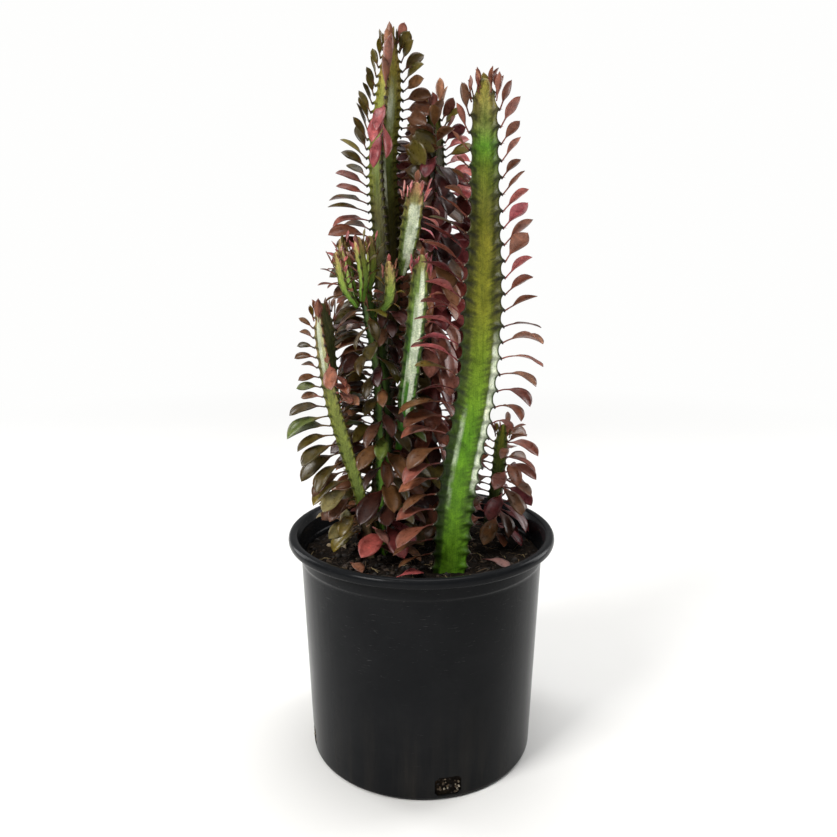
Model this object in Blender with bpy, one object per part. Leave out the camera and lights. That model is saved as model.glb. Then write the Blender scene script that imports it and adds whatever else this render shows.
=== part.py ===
"""Potted African milk tree: a red-leaved Euphorbia trigona in a plain black
nursery pot.

Units are metres, +Z is up, -Y is the front.  The origin is the centre of the
pot's flat underside.  Each stem is a three-winged column swept along its own
curved axis.  The leaves of a stem hang on the horny ridge line that runs down
each wing, so a stem's leaves, its three ridge lines and the tuft at its growing
tip are one piece that fits over the wings.
"""
import math
import random

import bmesh
import bpy
from mathutils import Vector
from mathutils.bvhtree import BVHTree

MM = 0.001
GAP = 0.0003                 # clearance between pieces that touch

# ------------------------------------------------------------------ the pot
POT_SEGMENTS = 56            # facets round the pot
POT_HEIGHT = 0.1910
RIM_OUTER_RADIUS = 0.1110
RIM_DEPTH = 0.0075           # how far the rolled lip hangs down
RIM_INNER_RADIUS = 0.1045
NECK_RADIUS = 0.1022         # outside of the wall, right under the lip
SHOULDER_HEIGHT = 0.1700     # small stacking step in the wall
SHOULDER_RADIUS = 0.1007
BASE_RADIUS = 0.0946
WALL = 0.0014
FLOOR = 0.0022
DRAIN_HOLES = 4
DRAIN_FIRST_SEGMENT = -13    # the holes are two facets wide
DRAIN_LOW = 0.0036
DRAIN_HIGH = 0.0200

# ----------------------------------------------------------------- the soil
SOIL_LEVEL = 0.1710
SOIL_FLAT_RADIUS = 0.0900

# --------------------------------------------------------- ridges and leaves
RIDGE_HEIGHT = 0.0015        # ridge line above the wing's edge
RIDGE_HALF_WIDTH = 0.0012
VALLEY = 0.44                # how far in the hollow between two wings reaches
STALK_HALF = 0.0008
LEAF_THICKNESS = 0.0010
LEAF_BREADTH = 0.41          # width of a leaf for its length
BROAD_EXTRA = 0.05           # broader leaves near the soil
BROAD_BELOW = 0.2400
BODY_AT = 0.70               # where along a leaf it is widest
EVEN = (0, 0, 0)
SEAT_AT = (0.50, 0.80, 0.20) # place of the leaf between two nodes, wing by wing

# A stem: its axis as a few points in mm, the wing radius in mm, the direction
# of wing 0 in degrees (0 is +X, -90 is the front), the spacing of the leaves
# in mm, how far the leaves fan out to both sides, how far each wing's leaves
# lean sideways and are rolled over, and for each wing the leaves as (place along the stem, length in mm,
# lift in degrees, droop in degrees).  A length of 0 is a bare stretch.
STEMS = {
    "right": dict(
        seed=11, pitch=11.8,
        axis=[(22, -43, 171.3), (29, -40, 238), (42, -36, 310), (46, -33, 364),
              (47, -31, 420), (46, -28, 480), (45, -25, 536)],
        radius=[(0.0, 17.5), (0.15, 19.0), (0.55, 19.3), (0.66, 17.5),
                (0.75, 15.0), (0.85, 14.2), (0.96, 12.5), (1.0, 7.0)],
        turn=[(0, -30), (0.2, -38), (0.35, -40), (0.55, -35), (0.8, -30), (1, -30)],
        wings=[
            [(0.0, 0, 0, 0), (0.31, 0, 30, 80), (0.33, 20, 38, 90), (0.38, 30, 32, 85),
             (0.46, 37, 22, 50), (0.53, 35, 20, 30), (0.58, 27, 48, 30),
             (0.75, 27, 50, 15), (0.80, 18, 52, 20), (0.90, 19, 50, 10),
             (0.94, 24, 60, 0), (0.97, 15, 74, 0), (1.0, 11, 80, -15)],
            [(0.0, 0, 0, 0), (0.05, 26, 5, 40), (0.3, 30, 15, 50), (0.6, 32, 30, 30),
             (0.75, 28, 40, 15), (0.85, 16, 45, 10), (0.96, 20, 62, 0), (1.0, 13, 76, -10)],
            [(0.0, 0, 0, 0), (0.04, 32, -2, 40), (0.2, 34, 0, 55), (0.32, 40, 10, 60),
             (0.5, 38, 35, 50), (0.7, 34, 42, 25), (0.77, 22, 42, 20),
             (0.86, 13, 35, 10), (0.93, 22, 60, -15), (0.96, 25, 72, -15), (1.0, 15, 78, -15)]]),
    "tall": dict(
        seed=23, pitch=6.8, fan=22, lean=(0, -38, 22), roll=(0, 45, -25),
        axis=[(-36, 21, 171.3), (-32, 21, 260), (-28, 20, 350), (-28, 20, 420),
              (-31, 20, 489), (-26, 20, 541), (-24, 20, 578)],
        radius=[(0.0, 11.5), (0.4, 13.5), (0.7, 16.0), (0.86, 15.5), (0.94, 12.0), (1.0, 5.5)],
        turn=[(0, -70), (0.5, -84), (1, -96)],
        wings=[
            [(0.0, 0, 0, 0), (0.2, 0, 20, 40), (0.22, 26, 10, 60), (0.53, 30, -5, 60),
             (0.56, 0, 0, 60), (0.815, 0, 0, 60), (0.82, 31, -34, 45), (0.875, 29, -26, 50),
             (0.89, 0, 0, 50), (0.905, 0, 60, 30), (0.91, 30, 74, 10), (0.95, 24, 80, -5),
             (1.0, 15, 84, -10)],
            [(0.0, 0, 0, 0), (0.06, 30, 10, 50), (0.5, 32, 5, 55), (0.82, 28, 5, 65),
             (0.9, 22, 35, 30), (1.0, 14, 76, 0)],
            [(0.0, 0, 0, 0), (0.06, 30, 5, 40), (0.5, 36, 10, 55), (0.7, 30, 30, 40),
             (0.84, 20, 58, 10), (1.0, 14, 72, -10)]]),
    "middle": dict(
        seed=37, pitch=5.6, fan=34, lean=(0, -34, 34), roll=(0, 40, -40),
        axis=[(4, 44, 171.3), (8, 41, 300), (11, 37, 430), (11, 36, 490), (9, 35, 534)],
        radius=[(0.0, 10.5), (0.5, 12.0), (0.85, 11.5), (0.94, 9.5), (1.0, 5.0)],
        turn=[(0, -80), (1, -90)],
        wings=[
            [(0.0, 0, 0, 0), (0.05, 30, -30, 40), (0.5, 38, -36, 42), (0.75, 38, -36, 42),
             (0.88, 30, -25, 40), (0.93, 20, 50, 20), (1.0, 16, 80, -10)],
            [(0.0, 0, 0, 0), (0.05, 28, 5, 50), (0.5, 34, -5, 60), (0.8, 32, -5, 60),
             (0.92, 20, 45, 30), (1.0, 18, 76, -10)],
            [(0.0, 0, 0, 0), (0.05, 28, 0, 50), (0.6, 32, 0, 60), (0.85, 30, 0, 60),
             (0.93, 20, 45, 20), (1.0, 14, 80, -10)]]),
    "left": dict(
        seed=41, pitch=7.6, fan=14, roll=(0, 20, -45),
        axis=[(-42, -18, 171.3), (-46, -19, 205), (-52, -20, 236), (-61, -20, 268),
              (-69, -20, 304), (-74, -20, 340), (-77, -20, 375)],
        radius=[(0.0, 5.5), (0.25, 6.5), (0.6, 8.5), (0.92, 11.0), (1.0, 7.0)],
        turn=[(0, -28), (0.5, -34), (0.75, -72), (1, -95)],
        wings=[
            [(0.0, 0, 0, 0), (0.04, 26, -20, 30), (0.12, 26, -10, 40), (0.2, 0, 0, 0),
             (0.62, 0, 10, 40), (0.64, 26, 30, 60), (0.8, 28, -25, 40), (0.86, 0, 0, 0),
             (0.98, 0, 60, 0), (1.0, 10, 70, 0)],
            [(0.0, 0, 0, 0), (0.1, 28, 10, 40), (0.6, 30, 25, 50), (0.85, 26, 30, 55),
             (0.95, 16, 60, 0), (1.0, 10, 75, 0)],
            [(0.0, 0, 0, 0), (0.1, 0, 0, 30), (0.12, 27, 15, 60), (0.35, 32, 8, 45),
             (0.62, 34, 12, 40), (0.68, 18, 25, 40), (0.9, 15, 30, 40), (1.0, 10, 70, 0)]]),
    "centre": dict(
        seed=53, pitch=6.3, fan=42, lean=(0, -16, 16), roll=(0, 30, -30),
        axis=[(-31, -8, 171.3), (-31, -6, 235), (-31, -5, 295), (-35, -3, 340), (-44, 0, 382)],
        radius=[(0.0, 8.5), (0.5, 9.0), (0.9, 9.0), (1.0, 6.5)],
        turn=[(0, -80), (1, -92)],
        wings=[
            [(0.0, 0, 0, 0), (0.04, 36, -25, 15), (0.25, 38, -18, 30), (0.5, 32, -5, 50),
             (0.95, 28, -5, 60), (1.0, 0, 50, 0)],
            [(0.0, 0, 0, 0), (0.05, 32, -10, 30), (0.4, 32, 5, 50), (0.95, 30, 15, 50),
             (1.0, 0, 40, 0)],
            [(0.0, 0, 0, 0), (0.08, 30, 0, 40), (0.5, 36, 20, 70), (0.95, 32, 15, 65),
             (1.0, 0, 60, 0)]]),
    "rear": dict(
        seed=67, pitch=6.8, fan=36, lean=(0, -20, 20), roll=(0, 35, -35),
        axis=[(58, 30, 171.3), (65, 30, 200), (69, 30, 235), (71, 30, 270)],
        radius=[(0.0, 7.5), (0.3, 9.0), (0.85, 9.0), (1.0, 5.0)],
        turn=[(0, -85), (1, -60)],
        wings=[
            [(0.0, 0, 0, 0), (0.05, 36, -32, 10), (0.3, 34, -10, 40), (0.8, 30, 5, 50),
             (1.0, 18, 55, 20)],
            [(0.0, 0, 0, 0), (0.1, 32, 0, 40), (0.9, 30, 15, 55), (1.0, 16, 60, 20)],
            [(0.0, 0, 0, 0), (0.05, 30, -5, 40), (0.5, 30, 15, 50), (0.9, 24, 30, 50),
             (1.0, 16, 60, 20)]]),
    "branch_upper": dict(
        seed=71, pitch=8.4,
        axis=[(-14.5, 5, 405), (-12, -2, 417), (-8, -7, 440), (-4, -10, 466)],
        radius=[(0.0, 5.0), (0.15, 8.0), (0.5, 10.5), (0.9, 9.8), (1.0, 6.0)],
        turn=[(0, -30), (1, -30)],
        wings=[
            [(0.0, 0, 0, 0), (0.12, 14, -10, 40), (0.9, 14, 10, 50), (1.0, 12, 76, 0)],
            [(0.0, 0, 0, 0), (0.3, 18, 20, 30), (1.0, 14, 76, 0)],
            [(0.0, 0, 0, 0), (0.9, 0, 60, 0), (1.0, 12, 80, 0)]]),
    "branch_centre": dict(
        seed=79, pitch=10.2,
        axis=[(-17.5, -9, 266), (-14, -12, 281), (-12, -18, 303), (-8, -26, 332),
              (-4, -29, 368), (-1, -30, 402), (0, -30, 413)],
        radius=[(0.0, 4.5), (0.1, 7.5), (0.3, 10.0), (0.8, 10.0), (0.93, 8.5), (1.0, 5.0)],
        turn=[(0, -32), (1, -30)],
        wings=[
            [(0.0, 0, 0, 0), (0.45, 0, 10, 40), (0.5, 12, 5, 50), (0.9, 12, 30, 30),
             (1.0, 10, 76, 0)],
            [(0.0, 0, 0, 0), (0.15, 22, 10, 40), (0.7, 24, 20, 40), (1.0, 12, 76, 0)],
            [(0.0, 0, 0, 0), (0.9, 0, 40, 0), (1.0, 10, 76, 0)]]),
    "shoot_front": dict(
        seed=83, pitch=9.0,
        axis=[(-46, -12, 386), (-45, -13, 400), (-49, -14, 427)],
        radius=[(0.0, 3.5), (0.4, 5.0), (0.9, 5.0), (1.0, 3.5)],
        turn=[(0, -92), (1, -92)],
        wings=[[(0.0, 0, 0, 0), (0.6, 0, 0, 0), (1.0, 10, 75, 0)],
               [(0.0, 0, 0, 0), (0.2, 10, 30, 40), (1.0, 9, 70, 0)],
               [(0.0, 0, 0, 0), (0.2, 10, 30, 40), (1.0, 9, 70, 0)]]),
    "shoot_left": dict(
        seed=89, pitch=8.5,
        axis=[(-53, -6, 380), (-60, -8, 392), (-65, -10, 416)],
        radius=[(0.0, 3.5), (0.4, 4.4), (0.9, 4.4), (1.0, 3.4)],
        turn=[(0, -60), (1, -60)],
        wings=[[(0.0, 0, 0, 0), (0.3, 9, 10, 40), (1.0, 8, 70, 0)],
               [(0.0, 0, 0, 0), (0.3, 12, 30, 30), (1.0, 9, 70, 0)],
               [(0.0, 0, 0, 0), (0.25, 18, 10, 50), (1.0, 10, 70, 0)]]),
    "shoot_back": dict(
        seed=97, pitch=9.0,
        axis=[(-54, 5, 386), (-58, 7, 402), (-63, 7, 426)],
        radius=[(0.0, 3.5), (0.4, 4.8), (0.9, 4.8), (1.0, 3.5)],
        turn=[(0, -80), (1, -80)],
        wings=[[(0.0, 0, 0, 0), (0.4, 10, 50, 30), (1.0, 9, 70, 0)],
               [(0.0, 0, 0, 0), (0.3, 14, 30, 30), (1.0, 10, 70, 0)],
               [(0.0, 0, 0, 0), (0.25, 18, 20, 50), (1.0, 10, 70, 0)]]),
    "shoot_inner": dict(
        seed=101, pitch=9.0,
        axis=[(-43, 5, 388), (-40, 5, 404), (-41, 3, 428)],
        radius=[(0.0, 3.5), (0.4, 4.8), (0.9, 4.8), (1.0, 3.5)],
        turn=[(0, -100), (1, -100)],
        wings=[[(0.0, 0, 0, 0), (0.6, 0, 50, 30), (1.0, 9, 70, 0)],
               [(0.0, 0, 0, 0), (0.3, 12, 30, 30), (1.0, 9, 70, 0)],
               [(0.0, 0, 0, 0), (0.3, 14, 30, 30), (1.0, 9, 70, 0)]]),
    "shoot_right": dict(
        seed=103, pitch=8.5,
        axis=[(-32.5, -7, 372), (-26, -11, 381), (-24, -13, 393), (-25, -15, 409)],
        radius=[(0.0, 3.2), (0.4, 5.2), (0.9, 5.0), (1.0, 3.4)],
        turn=[(0, -30), (1, -30)],
        wings=[[(0.0, 0, 0, 0), (0.35, 9, 10, 50), (1.0, 8, 72, 0)],
               [(0.0, 0, 0, 0), (0.3, 14, 20, 40), (1.0, 9, 72, 0)],
               [(0.0, 0, 0, 0), (0.35, 10, 10, 50), (1.0, 8, 72, 0)]]),
    "stump": dict(
        seed=107, pitch=12.0,
        axis=[(-66, 6, 171.3), (-66, 6, 190), (-64, 5, 214)],
        radius=[(0.0, 4.0), (0.5, 4.2), (1.0, 3.6)],
        turn=[(0, -60), (1, -80)],
        wings=[[(0.0, 0, 0, 0), (0.5, 0, -30, 20), (0.55, 26, -45, 10), (1.0, 24, 0, 60)],
               [(0.0, 0, 0, 0), (0.5, 0, 20, 40), (0.55, 20, 20, 40), (1.0, 20, 30, 60)],
               [(0.0, 0, 0, 0), (0.5, 0, 10, 40), (0.55, 24, 10, 50), (1.0, 22, 25, 60)]]),
}
SHOOTS = ("shoot_front", "shoot_left", "shoot_back", "shoot_inner", "shoot_right")

# Leaves that have dropped: place on the soil in mm, direction, length in mm.
FALLEN = {
    "fallen_leaf_right": ((50, -30), -42, 27),
    "fallen_leaf_front": ((-20, -68), 25, 24),
    "fallen_leaf_left": ((-57, -38), -60, 22),
}

COLOURS = {                  # base colour, roughness
    "pot": ((0.012, 0.012, 0.013), 0.38),
    "soil": ((0.028, 0.017, 0.011), 0.95),
    "stem": ((0.085, 0.150, 0.024), 0.34),
    "young": ((0.180, 0.300, 0.050), 0.36),
    "wood": ((0.260, 0.200, 0.120), 0.75),
    "leaves": ((0.120, 0.036, 0.028), 0.42),
}


# ------------------------------------------------------------------- helpers
def clear_scene():
    for obj in list(bpy.data.objects):
        bpy.data.objects.remove(obj, do_unlink=True)


def material(name):
    found = bpy.data.materials.get(name)
    if found:
        return found
    colour, roughness = COLOURS[name]
    mat = bpy.data.materials.new(name)
    mat.use_nodes = True
    shader = mat.node_tree.nodes["Principled BSDF"]
    shader.inputs["Base Color"].default_value = (*colour, 1.0)
    shader.inputs["Roughness"].default_value = roughness
    shader.inputs["Metallic"].default_value = 0.0
    mat.diffuse_color = (*colour, 1.0)
    return mat


def add_piece(name, verts, faces, mat, smooth=True):
    """A closed triangulated mesh with outward faces as one named object."""
    mesh = bpy.data.meshes.new(name)
    bm = bmesh.new()
    made = [bm.verts.new(v) for v in verts]
    for face in faces:
        bm.faces.new([made[i] for i in face])
    bmesh.ops.delete(bm, geom=[v for v in bm.verts if not v.link_faces], context='VERTS')
    bmesh.ops.triangulate(bm, faces=bm.faces[:])
    bmesh.ops.recalc_face_normals(bm, faces=bm.faces[:])
    bm.to_mesh(mesh)
    bm.free()
    mesh.materials.append(material(mat))
    obj = bpy.data.objects.new(name, mesh)
    bpy.context.scene.collection.objects.link(obj)
    if smooth:
        mesh.shade_smooth()
        mesh.set_sharp_from_angle(angle=math.radians(32))
    return obj


def keyed(keys, t):
    """Linear interpolation of rows (t, a, b, ...) at t."""
    if t <= keys[0][0]:
        return tuple(keys[0][1:])
    for a, b in zip(keys, keys[1:]):
        if t <= b[0]:
            f = (t - a[0]) / max(b[0] - a[0], 1e-9)
            return tuple(p + (q - p) * f for p, q in zip(a[1:], b[1:]))
    return tuple(keys[-1][1:])


def smooth_axis(points, count):
    """count + 1 points at equal spacing on a smooth curve through points."""
    pts = [Vector(p) * MM for p in points]
    ext = [pts[0] * 2 - pts[1]] + pts + [pts[-1] * 2 - pts[-2]]
    fine = []
    for i in range(1, len(ext) - 2):
        p0, p1, p2, p3 = ext[i - 1:i + 3]
        for j in range(24):
            u = j / 24
            fine.append(0.5 * ((2 * p1) + (p2 - p0) * u
                               + (2 * p0 - 5 * p1 + 4 * p2 - p3) * u * u
                               + (3 * p1 - p0 - 3 * p2 + p3) * u ** 3))
    fine.append(pts[-1])
    run = [0.0]
    for a, b in zip(fine, fine[1:]):
        run.append(run[-1] + (b - a).length)
    out, k = [], 0
    for i in range(count + 1):
        want = run[-1] * i / count
        while k < len(run) - 2 and run[k + 1] < want:
            k += 1
        f = (want - run[k]) / max(run[k + 1] - run[k], 1e-9)
        out.append(fine[k].lerp(fine[k + 1], min(max(f, 0.0), 1.0)))
    return out, run[-1]


class Stem:
    """The sampled axis of a stem with its section frame at each leaf node."""

    def __init__(self, name, spec):
        self.name, self.spec = name, spec
        _, length = smooth_axis(spec["axis"], 8)
        self.count = max(3, round(length / (spec["pitch"] * MM)))
        self.points, self.length = smooth_axis(spec["axis"], self.count)
        self.frames = []
        n = self.count
        for k in range(n + 1):
            along = (self.points[min(k + 1, n)] - self.points[max(k - 1, 0)]).normalized()
            if k == 0 and name in STANDING:
                along = Vector((0, 0, 1))
            e1 = Vector((1, 0, 0))
            e1 = (e1 - along * e1.dot(along)).normalized()
            e2 = along.cross(e1)
            t = k / n
            radius = keyed(spec["radius"], t)[0] * MM
            turn = math.radians(keyed(spec["turn"], t)[0])
            self.frames.append((self.points[k], along, e1, e2, radius, turn))

    def wing(self, k, i):
        """Axis point, outward and sideways directions, up, radius of wing i."""
        point, along, e1, e2, radius, turn = self.frames[k]
        a = turn + math.radians(120) * i
        out = e1 * math.cos(a) + e2 * math.sin(a)
        side = e2 * math.cos(a) - e1 * math.sin(a)
        return point, out, side, along, radius


# Stems that stand on the soil; the others grow from a stem.
STANDING = ("right", "tall", "middle", "left", "centre", "rear", "stump")


# ------------------------------------------------------------ pot and soil
def turned(profile, segments):
    """Points of a turned profile; a radius of 0 gives one point on the axis."""
    verts, rings = [], []
    for r, z in profile:
        if r == 0:
            rings.append([len(verts)] * segments)
            verts.append(Vector((0, 0, z)))
        else:
            rings.append(list(range(len(verts), len(verts) + segments)))
            for j in range(segments):
                a = 2 * math.pi * j / segments
                verts.append(Vector((r * math.cos(a), r * math.sin(a), z)))
    return verts, rings


def ring_faces(lower, upper, j, segments):
    k = (j + 1) % segments
    face = [lower[j], lower[k], upper[k], upper[j]]
    return [v for n, v in enumerate(face) if v not in face[:n]]


def inner_radius(z):
    """Inside of the pot's wall below the shoulder."""
    low, high = BASE_RADIUS - WALL, SHOULDER_RADIUS - WALL
    return low + (high - low) * (z - DRAIN_LOW) / (SHOULDER_HEIGHT - DRAIN_LOW)


def pot_skin():
    drain_r = BASE_RADIUS + (SHOULDER_RADIUS - BASE_RADIUS) * (
        (DRAIN_HIGH - DRAIN_LOW) / (SHOULDER_HEIGHT - DRAIN_LOW))
    lip = POT_HEIGHT - RIM_DEPTH
    profile = [
        (0, 0), (BASE_RADIUS - 0.0030, 0), (BASE_RADIUS - 0.0006, 0.0012),
        (BASE_RADIUS, DRAIN_LOW), (drain_r, DRAIN_HIGH),
        (SHOULDER_RADIUS, SHOULDER_HEIGHT), (SHOULDER_RADIUS + 0.0008, SHOULDER_HEIGHT + 0.0022),
        (NECK_RADIUS, lip + 0.0018), (RIM_OUTER_RADIUS - 0.0026, lip + 0.0018),
        (RIM_OUTER_RADIUS - 0.0016, lip), (RIM_OUTER_RADIUS - 0.0002, lip + 0.0010),
        (RIM_OUTER_RADIUS, lip + 0.0040), (RIM_OUTER_RADIUS - 0.0012, POT_HEIGHT - 0.0012),
        (RIM_OUTER_RADIUS - 0.0032, POT_HEIGHT), (RIM_INNER_RADIUS + 0.0008, POT_HEIGHT - 0.0003),
        (RIM_INNER_RADIUS - 0.0010, POT_HEIGHT - 0.0020),
        (NECK_RADIUS - WALL, POT_HEIGHT - 0.0062),
        (SHOULDER_RADIUS + 0.0008 - WALL, SHOULDER_HEIGHT + 0.0030),
        (SHOULDER_RADIUS - WALL, SHOULDER_HEIGHT + 0.0008),
        (inner_radius(DRAIN_HIGH), DRAIN_HIGH), (inner_radius(DRAIN_LOW), DRAIN_LOW),
        (BASE_RADIUS - WALL - 0.0016, FLOOR), (0, FLOOR)]
    verts, rings = turned(profile, POT_SEGMENTS)
    last = len(profile) - 1
    outer_low, outer_high = rings[3], rings[4]
    inner_high, inner_low = rings[last - 3], rings[last - 2]
    step = POT_SEGMENTS // DRAIN_HOLES
    open_at = {(DRAIN_FIRST_SEGMENT + h * step + s) % POT_SEGMENTS
               for h in range(DRAIN_HOLES) for s in (0, 1)}
    faces = []
    for i in range(last):
        through = i in (3, last - 3)
        for j in range(POT_SEGMENTS):
            if through and j in open_at:
                continue
            faces.append(ring_faces(rings[i], rings[i + 1], j, POT_SEGMENTS))
    for j in sorted(open_at):
        k = (j + 1) % POT_SEGMENTS
        faces.append([outer_low[j], outer_low[k], inner_low[k], inner_low[j]])
        faces.append([outer_high[k], outer_high[j], inner_high[j], inner_high[k]])
        if (j - 1) % POT_SEGMENTS not in open_at:
            faces.append([outer_low[j], inner_low[j], inner_high[j], outer_high[j]])
        if k not in open_at:
            faces.append([outer_low[k], outer_high[k], inner_high[k], inner_low[k]])
    return verts, faces


def soil_skin():
    top = SOIL_LEVEL
    edge = inner_radius(top - 0.0016) - GAP
    profile = [(0, FLOOR + GAP), (BASE_RADIUS - WALL - 0.0022, FLOOR + GAP),
               (inner_radius(DRAIN_LOW) - GAP, DRAIN_LOW + 0.0004),
               (edge, top - 0.0016), (SOIL_FLAT_RADIUS, top), (0, top)]
    verts, rings = turned(profile, POT_SEGMENTS)
    faces = [ring_faces(rings[i], rings[i + 1], j, POT_SEGMENTS)
             for i in range(len(profile) - 1) for j in range(POT_SEGMENTS)]
    return verts, faces


# ------------------------------------------------------------------- stems
def stem_mesh(stem):
    verts, faces = [], []
    n = stem.count
    for k in range(n + 1):
        for i in range(3):
            point, out, side, along, radius = stem.wing(k, i)
            verts.append(point + out * (radius - RIDGE_HEIGHT - GAP))
            hollow = out * math.cos(math.radians(60)) + side * math.sin(math.radians(60))
            verts.append(point + hollow * (radius * VALLEY))
    for k in range(n):
        for j in range(6):
            a, b = k * 6 + j, k * 6 + (j + 1) % 6
            faces.append([a, b, b + 6, a + 6])
    faces.append(list(range(5, -1, -1)))
    faces.append([n * 6 + j for j in range(6)])
    return verts, faces


# ------------------------------------------------------------------ leaves
def leaf_path(base, out, side, up, length, lift, droop, yaw, roll, steps=12):
    """Midrib points with, at each, the blade's sideways and upper directions."""
    cy, sy = math.cos(yaw), math.sin(yaw)
    forward = out * cy + side * sy
    across = side * cy - out * sy
    rows, p = [], base.copy()
    for s in range(steps + 1):
        e = lift - droop * s / steps
        if s:
            mid = lift - droop * (s - 0.5) / steps
            p = p + (forward * math.cos(mid) + up * math.sin(mid)) * (length / steps)
        heading = forward * math.cos(e) + up * math.sin(e)
        face = up * math.cos(e) - forward * math.sin(e)
        turn = roll * min(1.0, 3.0 * s / steps)
        wide = across * math.cos(turn) + face * math.sin(turn)
        face = face * math.cos(turn) - across * math.sin(turn)
        rows.append((p.copy(), heading, wide, face))
    return rows


def leaf_points(rows, width, grow=0.0):
    """Stalk ring, widest ring and tip of a leaf: under, right, left, ..., tip."""
    p, heading, wide, face = rows[1]
    a = STALK_HALF + grow
    stalk = [p - face * a * 0.9, p + wide * a + face * a * 0.5, p - wide * a + face * a * 0.5]
    p, heading, wide, face = rows[round(BODY_AT * (len(rows) - 1))]
    w, t = width / 2 + grow, LEAF_THICKNESS / 2 + grow
    body = [p - face * t, p + wide * w + face * t, p - wide * w + face * t]
    return stalk + body + [rows[-1][0] + rows[-1][1] * grow]


LEAF_SKIN = [(0, 1, 4, 3), (1, 2, 5, 4), (2, 0, 3, 5), (3, 4, 6), (4, 5, 6), (5, 3, 6)]
TRIES = [(0, 0, 1.0), (12, 0, 1.0), (-12, 0, 1.0), (0, 16, 1.0), (0, -16, 1.0),
         (20, 12, 0.9), (-20, -12, 0.9), (0, 30, 0.85), (0, -30, 0.85),
         (16, 0, 0.75), (-16, 0, 0.75), (30, 20, 0.7), (30, -20, 0.7), (0, 0, 0.55),
         (25, 0, 0.5)]


# The swelling under a leaf, from six points round its seat to the stalk.
SEAT_SKIN = [(1, 2, 6), (2, 7, 6), (2, 3, 7), (3, 4, 7), (4, 8, 7), (4, 5, 8), (5, 0, 8),
             (0, 6, 8), (0, 1, 6)]
WHOLE_SKIN = SEAT_SKIN + [tuple(6 + j for j in face) for face in LEAF_SKIN]


def tree_of(points, skin):
    return BVHTree.FromPolygons([tuple(p) for p in points], skin, all_triangles=False)


def box_of(points):
    return ([min(p[i] for p in points) for i in range(3)],
            [max(p[i] for p in points) for i in range(3)])


def boxes_meet(a, b):
    return all(a[0][i] <= b[1][i] and b[0][i] <= a[1][i] for i in range(3))


def plan_leaves(stems, solids):
    """Choose every leaf's pose so that it clears the stems, the ridges, the
    soil, the pot and the leaves that are already there."""
    placed, plan = [], {}
    for stem in stems:
        n = stem.count
        own = merged_tree([skin for name, skin in solids if name == stem.name])
        others = merged_tree([skin for name, skin in solids if name != stem.name])
        fan = stem.spec.get("fan", 0)
        lean, roll = stem.spec.get("lean", EVEN), stem.spec.get("roll", EVEN)
        for i in range(3):
            keys = stem.spec["wings"][i]
            for k in range(1, n):
                t = (k + 0.5) / n if k < n - 1 else 1.0
                length, lift, droop = keyed(keys, t)
                rng = random.Random(stem.spec["seed"] * 100003 + i * 1009 + k)
                jitter = [rng.uniform(-1, 1) for _ in range(6)]
                if length < 6:
                    continue
                p0, o0, s0, a0, r0 = stem.wing(k, i)
                p1, o1, s1, a1, r1 = stem.wing(k + 1, i)
                base = (p0 + o0 * r0).lerp(p1 + o1 * r1, SEAT_AT[i])
                (l0, q0, t0), (l1, q1, t1) = ridge_points(stem, k, i), ridge_points(stem, k + 1, i)
                out = (o0 + o1).normalized()
                up = (a0 + a1).normalized()
                side = up.cross(out).normalized()
                length = length * (1 + 0.13 * jitter[0]) * MM
                low = min(1.0, max(0.0, (BROAD_BELOW - base.z) / 0.04))
                width = length * (LEAF_BREADTH + BROAD_EXTRA * low + 0.06 * jitter[1])
                for dlift, dyaw, scale in TRIES:
                    rows = leaf_path(
                        base + out * 0.0006, out, side, up, length * scale,
                        math.radians(lift + 7 * jitter[2] + dlift),
                        math.radians(droop + 12 * jitter[3]),
                        math.radians(13 * jitter[4] + dyaw + fan * (k % 3 - 1) + lean[i]),
                        math.radians(24 * jitter[5] + roll[i]))
                    points = leaf_points(rows, width * scale, 0.0004)
                    if own.overlap(tree_of(points, LEAF_SKIN)):
                        continue
                    seat = [l0, t0, q0, q1, t1, l1]
                    middle = (l0 + q1) / 2
                    points = [middle.lerp(v, 0.85) for v in seat] + points
                    tree, box = tree_of(points, WHOLE_SKIN), box_of(points)
                    if others.overlap(tree):
                        continue
                    if any(boxes_meet(box, other) and tree.overlap(o) for other, o in placed):
                        continue
                    placed.append((box, tree))
                    plan[stem.name, i, k] = (rows, width * scale)
                    break
    return plan


def ridge_points(stem, k, i):
    """Left foot, right foot and top of the ridge line at node k of wing i."""
    point, out, side, along, radius = stem.wing(k, i)
    rise_foot, rise_top, pull = 0.0, 0.0, 0.0
    if k == stem.count:
        rise_foot, rise_top, pull = GAP, GAP + RIDGE_HEIGHT, 0.0006
    foot = point + along * rise_foot + out * (radius - RIDGE_HEIGHT)
    return [foot - side * RIDGE_HALF_WIDTH, foot + side * RIDGE_HALF_WIDTH,
            point + along * rise_top + out * (radius - pull)]


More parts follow.
